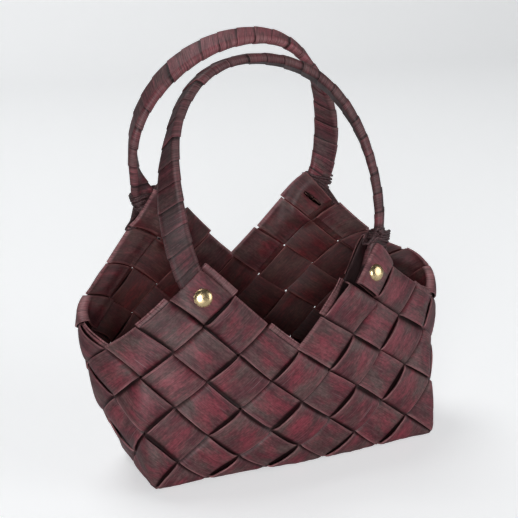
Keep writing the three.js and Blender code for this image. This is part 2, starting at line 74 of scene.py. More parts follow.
class BasketWeave(PropertyGroup):
    pitch: length("Strip pitch", "From one strip's middle to the next one's", 0.020)
    gap: length("Strip gap", "Least space between neighbouring strips", 0.0005)
    fray: length("Fray", "How far edges draw in here and there", 0.0004)
    roll: length("Inner fold height", "Rise of the inner strips' folds over the rim", 0.0018)
    thickness: length("Veneer thickness", "Thickness of a strip", 0.0008)
    layer: length("Layer offset", "From the wall's middle to each layer", 0.0006)
    tail: length("Tail offset", "From the wall's middle to a folded end", 0.0017)
    deep_tail: length("Deep tail offset", "The same for the second end in a peak", 0.0027)
    bulge: length("Cell bulge", "How far a cell stands out at its middle", 0.0012)
    dive: length("Dive", "Length over which a strip passes under the next", 0.0014)
    slit: length("Slit", "Widest slit where a strip dives under another", 0.0011)
    crown: length("Edge drop", "How far edges fall behind a strip's middle", 0.0001)
    wander: length("Strip wander", "How far a strip strays sideways", 0.0006)
    lift: length("Strip lift", "How far edges stand off unevenly", 0.0006)
    ripple: length("Veneer ripple", "Unevenness of the veneer", 0.00012)
    length_cells: count("Base length", "Cells along the base", 5)
    width_cells: count("Base width", "Cells across the base", 2)
    seed: count("Seed", "Seed of the unevenness", 7)


class BasketWall(PropertyGroup):
    base_length: length("Base length", "Length of the base rectangle", 0.1556)
    base_width: length("Base width", "Width of the base rectangle", 0.0532)
    oval_length: length("Oval half length", "Half the length of the wall's oval", 0.0914)
    oval_width: length("Oval half width", "Half its width at the base level", 0.0504)
    narrowing: length("Narrowing", "What that half width loses with each level", 0.00202)
    setback: length("Setback", "How far each level moves backward", 0.0019)
    settle: number("Levels to oval", "Levels over which the base becomes the oval", 6.85)
    rise: length("Rise", "Height of the first level", 0.0144)
    pocket: length("Pocket depth", "How far a peak's layers open for the handle", 0.0034)
    inner_share: number("Inner share", "The inner layer's share of that depth", 0.85)
    pocket_half: length("Pocket half width", "Reach of the full depth round the leg", 0.006)
    pocket_edge: length("Pocket edge", "Width over which the pocket closes", 0.0065)
    bow: length("Base bow", "How far the base's edges stand off the floor", 0.0008)
    left_bow: length("Left base bow", "How much more they do at the left", 0.0026)
    corner: length("Corner rounding", "How far the left corners are drawn in", 0.0065)
    left_flare: length("Left flare", "How far the rim's left end leans out", 0.0030)
    right_flare: length("Right flare", "How far the rim's right end leans out", 0.0045)
    stretch: length("Right stretch", "How far the wall's right end stands out", 0.0035)
    apex: length("Apex lift", "How far the right front peak is pulled up", 0.0052)


class BasketHandles(PropertyGroup):
    band_width: length("Band width", "Width of the band inside the winding", 0.011)
    band_thickness: length("Band thickness", "Thickness of that band", 0.0026)
    foot: length("Foot length", "Length of the band below its rivet", 0.008)
    settle_length: length("Settle length", "Height over which a hoop leaves the wall's slope", 0.012)
    twist_start: length("Twist start", "Height over the rivet where a foot's twist starts", 0.008)
    twist_length: length("Twist length", "Length over which a foot twists", 0.018)
    ribbon_overlap: number("Winding overlap", "Share of a turn that the next one covers", 0.28)
    ribbon_thickness: length("Ribbon thickness", "Thickness of the wound veneer", 0.0004)
    ribbon_gap: length("Ribbon seat", "Space between the band and the ribbon", 0.00025)
    ribbon_ripple: length("Ribbon ripple", "Unevenness of the ribbon", 0.00015)
    cord: length("Lashing cord", "Diameter of the lashing cord", 0.0013)


class BasketRivets(PropertyGroup):
    head: length("Head diameter", "Diameter of the domed head", 0.0086)
    dome: length("Head height", "Height of the domed head", 0.0018)
    shank: length("Shank diameter", "Diameter between the layers", 0.0024)
    leg_span: length("Leg span", "Length of the two bent legs inside", 0.012)
    leg_width: length("Leg width", "Width of a leg at its root", 0.0024)
    leg_thickness: length("Leg thickness", "Thickness of a leg at its root", 0.0007)
    leg_slant: number("Leg slant", "Degrees by which the legs turn from level", 40.0)


class BasketFinish(PropertyGroup):
    dark: colour("Dark grain", "Darkest streaks of the veneer", (0.020, 0.005, 0.007))
    wine: colour("Wine red", "Main colour of the veneer", (0.080, 0.018, 0.025))
    red: colour("Bright red", "Redder patches of the veneer", (0.205, 0.028, 0.045))
    grey: colour("Grey brown", "Greyer patches of the veneer", (0.098, 0.056, 0.054))
    # Partly painted highlight: a pale pink for rubbed folds and edges that also stands for the light they
    # catch.
    worn_and_highlight: colour("Worn edge", "Rubbed folds and edges", (0.42, 0.19, 0.20))
    scuff: colour("Scuffs", "Fine pale scratches", (0.270, 0.185, 0.190))
    # Painted shade: a dark, reddish tint multiplied onto the veneer's inner face and onto the tails inside
    # the basket.
    inner: colour("Inner tint", "Tint of the veneer's inner face", (0.62, 0.38, 0.34))
    # Painted shade: a near-black colour for veneer covered by a crossing strip, seen in the slits and gaps
    # of the weave.
    slit_shade: colour("Hidden veneer", "Veneer under a crossing strip", (0.005, 0.0016, 0.0018))
    brass: colour("Brass", "Rivet heads", (0.86, 0.68, 0.39))
    dull_brass: colour("Dull brass", "Duller spots of the rivet heads", (0.72, 0.54, 0.29))
    # Partly painted shade: the rivet legs inside are tarnished dark, and the dark colour also stands for the
    # shade they lie in.
    tarnish: colour("Tarnish", "Rivet legs inside the basket", (0.035, 0.018, 0.016))
    cord: colour("Lashing", "Dark lashing cord", (0.022, 0.009, 0.010))


class BasketStage(PropertyGroup):
    floor: colour("Floor", "Pale floor and backdrop", (0.86, 0.87, 0.88))
    room: colour("Room", "Pale light of the room", (0.9, 0.92, 0.95))
    lift: number("Floor lift", "How much brighter the camera sees the floor", 0.52)
    lens: FloatProperty(name="Lens", description="Focal length", default=73.3, unit="CAMERA")
    key: FloatProperty(name="Key light", description="Power of the main light", default=8.0, unit="POWER")


# Small helpers

def settings():
    return bpy.context.scene.basket


def unit(vectors):
    return vectors / np.maximum(np.linalg.norm(vectors, axis=-1, keepdims=True), 1e-12)


def smooth_step(value, start=0, width=1):
    """0 up to the start, 1 from the start plus the width on, and a smooth change between them."""
    share = np.clip((value - start) / width, 0, 1)
    return share * share * (3 - 2 * share)


def points_of(*coordinates):
    return np.stack(np.broadcast_arrays(*coordinates), axis=-1)


def run_along(line):
    """Length of a line of points up to each of them."""
    return np.concatenate([[0], np.cumsum(np.linalg.norm(np.diff(line, axis=0), axis=-1))])


def slow_noise(random, places, waves, spread):
    """A smooth random line through the places: a sum of a few long waves."""
    total = np.zeros_like(places, dtype=float)
    for _ in range(waves):
        total += np.sin(places * random.uniform(0.5, 1) * spread + random.uniform(0, TAU))
    return total / waves


def sheet_mesh(name, points, grain, outward, **fields):
    """An open grid of points as a mesh that faces outward, with the grain's UV map and point values."""
    facing = np.cross(points[:-1, 1:] - points[:-1, :-1], points[1:, :-1] - points[:-1, :-1])
    way = 1 if (facing * outward[:-1, :-1]).sum() > 0 else -1
    points, grain = points[:, ::way], grain[:, ::way]
    shape = points.shape[:2]
    index = np.arange(points[..., 0].size).reshape(shape)
    quads = points_of(index[:-1, :-1], index[:-1, 1:], index[1:, 1:], index[1:, :-1]).reshape(-1, 4)
    mesh = bpy.data.meshes.new(name)
    mesh.from_pydata(points.reshape(-1, 3).tolist(), [], quads.tolist())
    layer = mesh.uv_layers.new(name="grain")
    layer.data.foreach_set("uv", grain.reshape(-1, 2)[quads.ravel()].astype(np.float32).ravel())
    for field, values in fields.items():
        values = np.broadcast_to(values, shape)[:, ::way]
        attribute = mesh.attributes.new(field, "FLOAT", "POINT")
        attribute.data.foreach_set("value", values.ravel().astype(np.float32))
    return mesh


def put(name, data):
    piece = bpy.data.objects.new(name, data)
    bpy.context.scene.collection.objects.link(piece)
    return piece


# Wall of the basket: s counts cells round it from the front middle, k counts half cells up.
# Lengths are in metres. A pair that describes a smooth change is its start and its width.

# Peaks: the rivet's cell, the side that the leg leans to, the folded ends inside, the leg's tilt
PEAKS = {
    "front_left": {"s": -1.5, "k": 7, "leg_side": -1, "tails": 1, "tilt": 33.0},
    "front_right": {"s": 1.5, "k": 7, "leg_side": 1, "tails": 2, "tilt": 33.0},
    "rear_left": {"s": -5.5, "k": 9, "leg_side": 1, "tails": 2, "tilt": 39.0},
    "rear_right": {"s": 5.5, "k": 9, "leg_side": -1, "tails": 1, "tilt": 33.0},
}
# Zigzag of the rim: its corners from the front middle on, and their heights
RIM_PLACES, RIM_HEIGHTS = [0, 1.5, 3, 5.5, 7], [5, 8, 5, 10, 7]
# Height of the first level and its growth, in mm: the mean and the swing of two and of four waves round it
FIRST_RISE, RISE_GROWTH = (14.4, -2.8, 0.34), (-0.264, 0.434, -0.108)
# Half widths of the ovals in the table, and the steps round each
OVAL_WIDTHS, OVAL_STEPS = np.linspace(0.024, 0.054, 61), 1441

# The half of the basket at each end, and its tip
END_HALF, END_TIP = (0.052, 0.036), (0.079, 0.012)
# Heights over which the two ends flare, and how much the right one rises with that
LEFT_FLARE, RIGHT_FLARE, FLARE_LIFT = 0.040, 0.070, 0.4
# Left corners: the height up to which they are drawn in, and how their back sides come forward
CORNER_HEIGHT, CORNER_BACK, CORNER_BACK_HEIGHT, CORNER_BACK_WIDTH = 0.042, 0.9, 0.105, 0.030
# The bowed edges of the base: their height, their widths and where the left ones bow more
EDGE_HEIGHT, LONG_EDGE, SHORT_EDGE, LEFT_BOW = 0.018, 0.010, 0.012, (-0.020, 0.070)
# The peak that is pulled up: its top and how far round it the pull reaches
APEX, APEX_REACH = (1.5, 8.0), 0.0115

# Pockets: how far they run below and above the rivet, and how much wider the one side of a full peak is
POCKET_RUN, POCKET_WIDER = (-0.008, 0.018), 0.004
# Where the veneer round a rivet's head is free to bulge
HEAD_FREE = (0.0042, 0.006)


class Wall:
    def __init__(self):
        self.weave = settings().weave
        self.size = settings().wall
        long, wide = self.weave.length_cells, self.weave.width_cells
        self.half_long, self.half_wide, self.around = long / 2, wide / 2, 2 * (long + wide)
        self.cell = self.size.base_length / long, self.size.base_width / wide
        self.floor = self.weave.layer + self.weave.thickness / 2
        self.turn_table = np.array([self.even_turns(width) for width in OVAL_WIDTHS])
        self.apex = self.point(*APEX)

    def even_turns(self, width):
        """Angles at even steps round the oval of this half width."""
        turns = np.linspace(0, TAU, OVAL_STEPS)
        run = run_along(points_of(self.size.oval_length * np.sin(turns), -width * np.cos(turns)))
        return np.interp(np.linspace(0, 1, OVAL_STEPS), run / run[-1], turns)

    def oval(self, s, k):
        width = self.size.oval_width - self.size.narrowing * k
        row = (width - OVAL_WIDTHS[0]) / (OVAL_WIDTHS[1] - OVAL_WIDTHS[0])
        column = np.mod(s, self.around) / self.around * (OVAL_STEPS - 1)
        row = np.clip(row, 0, len(OVAL_WIDTHS) - 1.001)
        column = np.clip(column, 0, OVAL_STEPS - 1.001)
        i, j = row.astype(int), column.astype(int)
        a, b = row - i, column - j
        table = self.turn_table
        turn = (1 - a) * ((1 - b) * table[i, j] + b * table[i, j + 1])
        turn += a * ((1 - b) * table[i + 1, j] + b * table[i + 1, j + 1])
        return points_of(self.size.oval_length * np.sin(turn), -width * np.cos(turn))

    def base_point(self, x, y):
        return points_of(x * self.cell[0], y * self.cell[1])

    def base_edge(self, s):
        t = np.mod(s + self.half_long, self.around)
        long, wide = self.weave.length_cells, self.weave.width_cells
        knots = [0, long, long + wide, 2 * long + wide, self.around]
        x = np.interp(t, knots, self.half_long * np.array([-1, 1, 1, -1, -1]))
        y = np.interp(t, knots, self.half_wide * np.array([-1, -1, 1, 1, -1]))
        return self.base_point(x, y)

    def point(self, s, k):
        s, k = np.broadcast_arrays(np.asarray(s, float), np.asarray(k, float))
        settle = 1 - (1 - np.clip(k / self.size.settle, 0, 1)) ** 2
        flat = self.base_edge(s) * (1 - settle)[..., None] + self.oval(s, k) * settle[..., None]
        turn = TAU * s / self.around
        waves = (1, np.cos(2 * turn), np.cos(4 * turn))
        rise, growth = (
            sum(swing * wave for swing, wave in zip(swings, waves)) * self.size.rise / FIRST_RISE[0]
            for swings in (FIRST_RISE, RISE_GROWTH)
        )
        z = self.floor + k * rise + k * k * growth
        return points_of(flat[..., 0], flat[..., 1] + self.size.setback * k, z)

    def settled(self, points):
        """The points as the used basket stands: base bowed, left corners rounded, ends flared."""
        size = self.size
        x, y, z = points[..., 0], points[..., 1], points[..., 2]
        left, right = (smooth_step(way * x, *END_HALF) for way in (-1, 1))
        left_tip = smooth_step(-x, *END_TIP) * smooth_step(z, 0, LEFT_FLARE)
        right_tip = smooth_step(x, *END_TIP) * smooth_step(z, 0, RIGHT_FLARE)
        across = left * size.corner * (1 - smooth_step(z, 0, CORNER_HEIGHT)) - left_tip * size.left_flare
        across += right * size.stretch + right_tip * size.right_flare
        back = -left * size.corner * CORNER_BACK * (1 - smooth_step(z, 0, CORNER_BACK_HEIGHT))
        back = back * smooth_step(y, 0, CORNER_BACK_WIDTH)
        low = 1 - smooth_step(z, self.floor, EDGE_HEIGHT)
        long_edge = smooth_step(abs(y), size.base_width / 2 - LONG_EDGE, LONG_EDGE)
        short_edge = smooth_step(abs(x), size.base_length / 2 - SHORT_EDGE, SHORT_EDGE)
        bow = size.bow + size.left_bow * smooth_step(-x, *LEFT_BOW)
        up = bow * low * np.maximum(long_edge, short_edge) + FLARE_LIFT * size.right_flare * right_tip
        up = up + size.apex * np.exp(-np.sum((points - self.apex) ** 2, axis=-1) / APEX_REACH ** 2)
        return points + points_of(across, back, up)

    def normal(self, s, k):
        step = 0.01
        ahead = self.point(s + step, k) - self.point(s - step, k)
        up = self.point(s, k + step) - self.point(s, k - step)
        return unit(np.cross(ahead, up))

    def from_front(self, s):
        return np.mod(s + self.around / 2, self.around) - self.around / 2

    def offsets(self, s, k, spot):
        """Distances from a spot to places on the wall: round the wall and up it."""
        ds = self.from_front(s - spot["s"])
        return self.weave.pitch * math.sqrt(2) * ds, self.weave.pitch / math.sqrt(2) * (k - spot["k"])

    def distance(self, s, k, spot):
        return np.hypot(*self.offsets(s, k, spot))

    def pocket(self, s, k):
        """How far the layers of a peak part round the handle foot between them."""
        openings = []
        for spot in PEAKS.values():
            x, y = self.offsets(s, k, spot)
            tilt = math.radians(spot["tilt"])
            way = (spot["leg_side"] * math.sin(tilt), math.cos(tilt))
            along = np.clip(x * way[0] + y * way[1], *POCKET_RUN)
            beside = np.hypot(x - along * way[0], y - along * way[1])
            wider = POCKET_WIDER * (spot["tails"] == 2) * (x * spot["leg_side"] < 0)
            closing = smooth_step(beside, self.size.pocket_half + wider, self.size.pocket_edge)
            openings.append(1 - closing)
        return self.size.pocket * np.max(openings, axis=0)

    def free(self, s, k, on_wall):
        """How free the veneer is to bulge: not under a rivet's head, and fully a little way off."""
        near = np.min([self.distance(s, k, spot) for spot in PEAKS.values()], axis=0)
        return np.where(on_wall, smooth_step(near, *HEAD_FREE), 1)

    def rim(self, s):
        return np.interp(abs(self.from_front(s)), RIM_PLACES, RIM_HEIGHTS)


# Strips: q counts cells along a strip and v runs across it

# Folds that stand open: how far inside the tail hangs, how far the fold stands over the rim,
# and whether the tail is tucked into the pocket round the handle foot
LOOSE_FOLDS = {
    ("rising_strip_5", 1): (0.0016, -0.0058, True),
    ("falling_strip_5", -1): (0.0044, 0.0006, False),
    ("rising_strip_4", 1): (0.0036, 0.0004, False),
    ("falling_strip_3", -1): (0.0028, 0.0030, False),
}
# Cells whose dye is rubbed to a bright red: where they are on the wall and how strongly
RUBBED = [
    (2.0, 6.0, 1.3), (-2.5, 5.0, 0.9), (-1.5, 3.0, 0.8), (1.5, 1.0, 0.7), (0.5, 5.0, 0.5), (0.0, 2.0, 0.5),
    (-3.0, 2.0, 0.7), (-8.0, 8.0, 0.9), (-8.5, 9.0, 0.8), (-6.5, 6.0, 0.6), (3.0, 3.0, 0.4),
]
RUBBED_REACH = 0.0085
# Rows of half a cell from its middle, and columns across the strip
ROWS = np.array([0, 0.09, 0.18, 0.27, 0.34, 0.39, 0.42, 0.445, 0.468, 0.49])
COLUMNS = np.array([-1, -0.96, -0.86, -0.66, -0.36, 0, 0.36, 0.66, 0.86, 0.96, 1.0])
# Steps, in cells, over which the wall's creases are averaged, and the reach of the surface's directions
CREASE_STEP, CREASE_WEIGHTS, SLOPE_REACH = 0.055, (1, 2, 3, 2, 1), 0.06
# Where, from a cell's middle, the rubbed rim begins, and how strongly its wear and painted highlight show
# there
RIM_SHARE, RIM_WEAR_AND_HIGHLIGHT = 0.48, 0.45
# Tails: their rows, as shares of a cell below the rim, their marks in the course and in the painted shade
# inside the basket
TAIL_ROWS, TAIL_MARK, TAIL_INSIDE_SHADE = np.linspace(0.04, 0.94, 21), 2.0, 0.7
# Wear and painted highlight of the raised and of the other edge, and how narrow it is
RAISED_EDGE_WEAR_AND_HIGHLIGHT, EDGE_WEAR_AND_HIGHLIGHT, EDGE_POWER = 0.9, 0.5, 24
# How far apart on the grain the strips of one family and the two families lie
GRAIN_STEP, GRAIN_JUMP = 1.7, 13.1
# Seeds of the strips and of their slits. Slits: the least and the most at a cell's two ends, and the cells
FIRST_SEED, SLIT_SEED, SLIT_LOW, SLIT_HIGH, SLIT_CELLS = 1000, 500, (0, 0.1), (0.3, 1), 40


class Strip:
    def __init__(self, wall, rising, order):
        self.wall = wall
        self.weave = wall.weave
        self.rising = rising
        self.order = order
        self.name = f"{'rising' if rising else 'falling'}_strip_{order + 4}"
        seed = 100 * self.weave.seed + 10 * order + rising + FIRST_SEED
        self.random = np.random.default_rng(seed)
        late = np.random.default_rng(seed + SLIT_SEED).uniform(SLIT_LOW, SLIT_HIGH, (SLIT_CELLS, 2))
        self.late = self.weave.slit * late ** 1.5
        self.low, self.high = self.end(-1), self.end(1)

    def spot(self, q, v):
        """Places on the base, in cells, and on the wall, and whether the strip is on the wall there."""
        x = q / 2 + v
        y = q / 2 - self.order - v if self.rising else self.order - q / 2 + v
        x, y = np.broadcast_arrays(np.asarray(x, float), np.asarray(y, float))
        long, wide = self.wall.half_long, self.wall.half_wide
        ends = (abs(self.order) > long - wide) & (x * self.order > 0) & (abs(x) >= long)
        sides = ~ends & (abs(y) >= wide)
        at_end = np.sign(x) * (long + wide) + np.sign(x) * y
        s = np.where(ends, at_end, np.where(y < 0, x, self.wall.around / 2 - x))
        k = np.where(ends, 2 * (abs(x) - long), 2 * (abs(y) - wide))
        return x, y, s, k, ends | sides

    def middle(self, q, v):
        """Points on the middle surface of the wall and the base."""
        total = 0
        for ahead, weight in enumerate(CREASE_WEIGHTS, start=-2):
            x, y, s, k, on_wall = self.spot(q + CREASE_STEP * ahead, v)
            floor = points_of(*np.moveaxis(self.wall.base_point(x, y), -1, 0), self.wall.floor)
            wall = self.wall.point(s, np.maximum(k, 0))
            total = total + weight * np.where(on_wall[..., None], wall, floor)
        return self.wall.settled(total / sum(CREASE_WEIGHTS))

    def outside(self, cell):
        return (np.abs(np.round(cell)) % 2 == 1) == self.rising

    def end(self, way):
        """One end of the strip: its rim, its last cell and how it folds over."""
        centre = 2 * min(max(self.order, 0.5 - self.wall.half_long), self.wall.half_long - 0.5)
        q = centre + way / 2
        while True:
            _, _, s, k, on_wall = self.spot(q, 0.0)
            if on_wall and k > self.wall.rim(s) - 0.001:
                break
            q += way
        cell = q - way / 2
        _, _, s0, k0, _ = self.spot(cell, 0.0)
        slope = np.sign(self.wall.from_front(s - s0))
        peak = next((p for p in PEAKS.values() if self.wall.distance(s0, k0, p) < 0.002), None)
        outside = bool(self.outside(cell))
        trimmed = peak is not None and outside and peak["leg_side"] == slope
        deep = peak is not None and peak["tails"] == 2 and slope > 0
        tail = self.weave.deep_tail if deep else self.weave.tail
        roll = 0 if outside or trimmed else self.weave.roll * self.random.uniform(0.8, 1.4)
        tail, roll, tucked = LOOSE_FOLDS.get((self.name, way), (tail, roll, False))
        return {
            "way": way, "rim": q + way * roll / self.weave.pitch, "cell": cell, "outside": outside,
            "trimmed": trimmed, "tail": tail, "tucked": tucked,
        }

    def layer(self, q):
        """Side of the wall along the strip, its swell, and whether it lies on the outside."""
        cell = np.clip(np.round(q), self.low["cell"], self.high["cell"])
        side = np.where(self.outside(cell), 1.0, -1.0)
        u = q - cell
        edge = 0.5 - np.abs(u)
        at_rim = (q < self.low["cell"]) | (q > self.high["cell"])
        late = self.late[cell.astype(int) + SLIT_CELLS // 2, (u > 0).astype(int)]
        dive = 2 * smooth_step((edge - 0.005) * self.weave.pitch - late, 0, self.weave.dive) - 1
        swell = side * np.cos(np.pi * np.clip(u, -0.5, 0.5))
        side = np.where(at_rim, side, np.where(side > 0, dive, -1))
        # The last value is 1 where the strip lies on top; the material darkens the rest with painted shade.
        return side, swell, np.where(at_rim & (np.abs(u) > RIM_SHARE), 1, (side + 1) / 2)

    def fold(self, end):
        """The course of one fold over the rim and its tail."""
        run = self.weave.layer if end["outside"] else -self.weave.layer
        radius = (run + end["tail"]) / 2
        turn = np.linspace(0, np.pi, 11)[1:]
        rise, offset = radius * np.sin(turn) / self.weave.pitch, run - radius * (1 - np.cos(turn))
        swell = -np.sin(np.pi * TAIL_ROWS) ** 2 - 0.5 * smooth_step(TAIL_ROWS, 0.7, 0.3)
        bend = points_of(rise, offset, 0.0, np.sin(turn))
        tail = points_of(-TAIL_ROWS, -end["tail"], swell, TAIL_MARK)
        rise, offset, swell, kind = np.concatenate([bend, tail]).T
        return points_of(end["rim"] + end["way"] * rise, offset, swell, kind, float(end["tucked"]), 1.0).T

    def lay(self):
        """The course of the strip with its folds: place, offset, swell, kind, tucked and laid, in rows."""
        cells = np.arange(self.low["cell"], self.high["cell"] + 1)
        q = (cells[:, None] + np.concatenate([-ROWS[:0:-1], ROWS])).ravel()
        q = q[(q > self.low["rim"] + 0.01) & (q < self.high["rim"] - 0.01)]
        q = np.concatenate([[self.low["rim"]], q, [self.high["rim"]]])
        side, swell, laid = self.layer(q)
        kind = np.zeros_like(q)
        for end in (self.low, self.high):
            if not end["outside"]:
                # Inner folds over the rim are marked for the pale pink that is partly wear and partly
                # painted highlight.
                kind = np.where(end["way"] * (q - end["cell"]) > RIM_SHARE, RIM_WEAR_AND_HIGHLIGHT, kind)
        course = points_of(q, side * self.weave.layer, swell, kind, 0.0, laid).T
        if not self.low["trimmed"]:
            course = np.concatenate([self.fold(self.low)[:, ::-1], course], axis=1)
        if not self.high["trimmed"]:
            course = np.concatenate([course, self.fold(self.high)], axis=1)
        return course

    def mesh(self):
        weave, across = self.weave, COLUMNS[None, :]
        q, offset, swell, kind, tucked, laid = (part[:, None] for part in self.lay())
        v = self.columns(q)
        tilt = slow_noise(self.random, q, 3, 2.2)
        normal = self.normals(q, v)
        _, _, s, k, on_wall = self.spot(q, v)
        opening = np.where(on_wall, self.wall.pocket(s, k), 0)
        opening = opening * np.where((offset > 0) | (tucked > 0), 1.0, -self.wall.size.inner_share)
        free = self.wall.free(s, k, on_wall)
        bulge = free * weave.bulge * swell * (1 - 0.2 * across ** 2)
        uneven = free * weave.lift * tilt * across * np.abs(swell)
        uneven += free * weave.lift * np.maximum(swell, 0) * np.clip(-across, 0, 1) ** 2
        drop = weave.crown * np.abs(across) ** 3 * np.sign(offset) * np.minimum(np.abs(swell), 1)
        away = offset + opening + bulge + uneven - drop
        away = np.where(on_wall, away, np.clip(away, -1, weave.layer))
        points = self.ease(self.middle(q, v) + normal * away[..., None])
        run = run_along(points[:, len(COLUMNS) // 2])[:, None]
        place = run + GRAIN_STEP * (self.order + 4) + GRAIN_JUMP * self.rising
        grain = points_of(place, across * weave.pitch / 2)
        is_tail = kind > 1.5
        # The strip's edges, the raised one most, get a pale pink that is partly wear and partly painted
        # highlight.
        edge_wear_and_highlight = np.where(across < 0, RAISED_EDGE_WEAR_AND_HIGHLIGHT, EDGE_WEAR_AND_HIGHLIGHT) * np.abs(across) ** EDGE_POWER
        wear = np.maximum(edge_wear_and_highlight, np.where(is_tail, 0, kind))
        rise = np.maximum(swell, 0) * (1 - 0.7 * across ** 2)
        for place_s, place_k, strength in RUBBED:
            near = self.wall.distance(s, k, {"s": place_s, "k": place_k}) / RUBBED_REACH
            rise = rise + np.where(on_wall & ~is_tail, strength * np.exp(-near ** 2), 0)
        fields = {"wear": wear, "rise": rise, "laid": laid, "tail": TAIL_INSIDE_SHADE * is_tail}
        return sheet_mesh(f"veneer_{self.name}", points, grain, normal, **fields)

    def columns(self, q):
        """Places across the strip, whose edges wander and fray."""
        half = 0.25 * (1 - self.weave.gap / self.weave.pitch)
        wander = slow_noise(self.random, q, 3, 1.6) * self.weave.wander / self.weave.pitch / 2
        fray = self.weave.fray / self.weave.pitch / 2
        low, high = (
            way * (half - fray * (0.5 + 0.5 * slow_noise(self.random, q, 2, 4.4))) for way in (-1, 1)
        )
        return (low + high) / 2 + wander + (high - low) / 2 * COLUMNS[None, :]

    def normals(self, q, v):
        """Outward directions of the eased middle surface, so that creases turn smoothly."""
        ahead = self.middle(q + SLOPE_REACH, v) - self.middle(q - SLOPE_REACH, v)
        side = self.middle(q, v + SLOPE_REACH / 2) - self.middle(q, v - SLOPE_REACH / 2)
        normal = unit(np.cross(ahead, side))
        return -normal if normal[len(q) // 2, 4, 2] > 0 else normal

    def ease(self, points):
        """Rounds the sharp turns along the strip a little."""
        for _ in range(2):
            middle = (points[:-2] + 2 * points[1:-1] + points[2:]) / 4
            points = np.concatenate([points[:1], middle, points[-1:]])
        return points


# Node trees

class Nodes:
    """Adds nodes to a tree. Their inputs are values, or the sockets or nodes that feed them."""

    def __init__(self, tree):
        self.tree = tree

    def feed(self, socket, value):
        if isinstance(value, bpy.types.Node):
            value = value.outputs[0]
        if isinstance(value, bpy.types.NodeSocket):
            self.tree.links.new(value, socket)
        else:
            socket.default_value = (*value, 1) if socket.type == "RGBA" else value

    def add(self, kind, options=None, *inputs, **named_inputs):
        node = self.tree.nodes.new(kind)
        for key, value in (options or {}).items():
            setattr(node, key, value)
        for socket, value in zip(node.inputs, inputs):
            self.feed(socket, value)
        for name, value in named_inputs.items():
            self.feed(node.inputs[name.replace("_", " ")], value)
        return node

    def maths(self, operation, *values):
        return self.add("ShaderNodeMath", {"operation": operation}, *values)

    def field(self, name):
        return self.add("ShaderNodeAttribute", {"attribute_name": name}).outputs["Fac"]

    def ramp(self, factor, *stops):
        """A ramp through stops, each a place with a colour or a grey value."""
        node = self.add("ShaderNodeValToRGB", Fac=factor)
        elements = node.color_ramp.elements
        while len(elements) < len(stops):
            elements.new(0.5)
        for element, (place, shade) in zip(elements, stops):
            element.position = place
            element.color = (shade, shade, shade, 1) if isinstance(shade, float) else (*shade, 1)
        return node

    def blend(self, factor, first, second, mode="MIX"):
        node = self.add("ShaderNodeMix", {"data_type": "RGBA", "blend_type": mode}, factor)
        self.feed(node.inputs[6], first)
        self.feed(node.inputs[7], second)
        return node.outputs[2]

    def between(self, value, from_low, from_high, to_low, to_high):
        return self.add("ShaderNodeMapRange", None, value, from_low, from_high, to_low, to_high)

    def bump(self, height, depth):
        return self.add("ShaderNodeBump", Strength=0.6, Distance=depth, Height=height)

    def noise(self, coordinates, scale, detail, roughness=0.5, shift=0.0):
        placed = self.add("ShaderNodeMapping", Vector=coordinates, Scale=scale, Location=[shift] * 3)
        return self.add("ShaderNodeTexNoise", Vector=placed, Scale=1.0, Detail=detail, Roughness=roughness)


def group(name, *inputs):
    """A new geometry node tree and its inputs, each given as a name, a socket type and a default."""
    tree = bpy.data.node_groups.new(name, "GeometryNodeTree")
    sockets = [("Geometry", "NodeSocketGeometry", None), *inputs, ("Material", "NodeSocketMaterial", None)]
    for label, kind, default in sockets:
        socket = tree.interface.new_socket(label, in_out="INPUT", socket_type=kind)
        if default is not None:
            socket.default_value = default
    tree.interface.new_socket("Geometry", in_out="OUTPUT", socket_type="NodeSocketGeometry")
    return Nodes(tree), tree.nodes.new("NodeGroupInput").outputs


def close(nodes, start, geometry):
    """Ends a geometry node tree."""
    smooth = nodes.add("GeometryNodeSetShadeSmooth", Geometry=geometry)
    real = nodes.add("GeometryNodeRealizeInstances", Geometry=smooth)
    painted = nodes.add("GeometryNodeSetMaterial", Geometry=real, Material=start["Material"])
    nodes.feed(nodes.tree.nodes.new("NodeGroupOutput").inputs[0], painted)
    return nodes.tree


def veneer_tree(name):
    """Gives an open sheet its ripples and its thickness, and marks its inner face."""
    nodes, start = group(
        name,
        ("Thickness", "NodeSocketFloat", 0.0008),
        ("Ripple", "NodeSocketFloat", 0.0001),
        ("Ripple size", "NodeSocketFloat", 160.0),
        ("Seed", "NodeSocketInt", 7),
    )
    thickness = start["Thickness"]
    place, normal = nodes.add("GeometryNodeInputPosition"), nodes.add("GeometryNodeInputNormal")
    shifted = nodes.add("ShaderNodeVectorMath", {"operation": "ADD"}, place, start["Seed"])
    noise = nodes.add("ShaderNodeTexNoise", Vector=shifted, Scale=start["Ripple size"], Detail=2.0)
    waves = nodes.maths("MULTIPLY", nodes.maths("SUBTRACT", noise, 0.5), start["Ripple"])
    height = nodes.maths("ADD", waves, nodes.maths("MULTIPLY", thickness, -0.5))
    offset = nodes.add("ShaderNodeVectorMath", {"operation": "SCALE"}, normal, Scale=height)
    inner = nodes.add("GeometryNodeSetPosition", Geometry=start["Geometry"], Offset=offset)
    outer = nodes.add(
        "GeometryNodeExtrudeMesh", {"mode": "FACES"}, Mesh=inner, Offset_Scale=thickness, Individual=False
    )
    back = nodes.add("GeometryNodeFlipFaces", Mesh=inner)
    marked = nodes.add(
        "GeometryNodeStoreNamedAttribute", {"data_type": "FLOAT", "domain": "FACE"},
        Geometry=back, Name="inside", Value=1.0,
    )
    both = nodes.add("GeometryNodeJoinGeometry")
    for side in (outer, marked):
        nodes.feed(both.inputs[0], side)
    closed = nodes.add("GeometryNodeMergeByDistance", Geometry=both, Distance=0.00001)
    return close(nodes, start, closed)


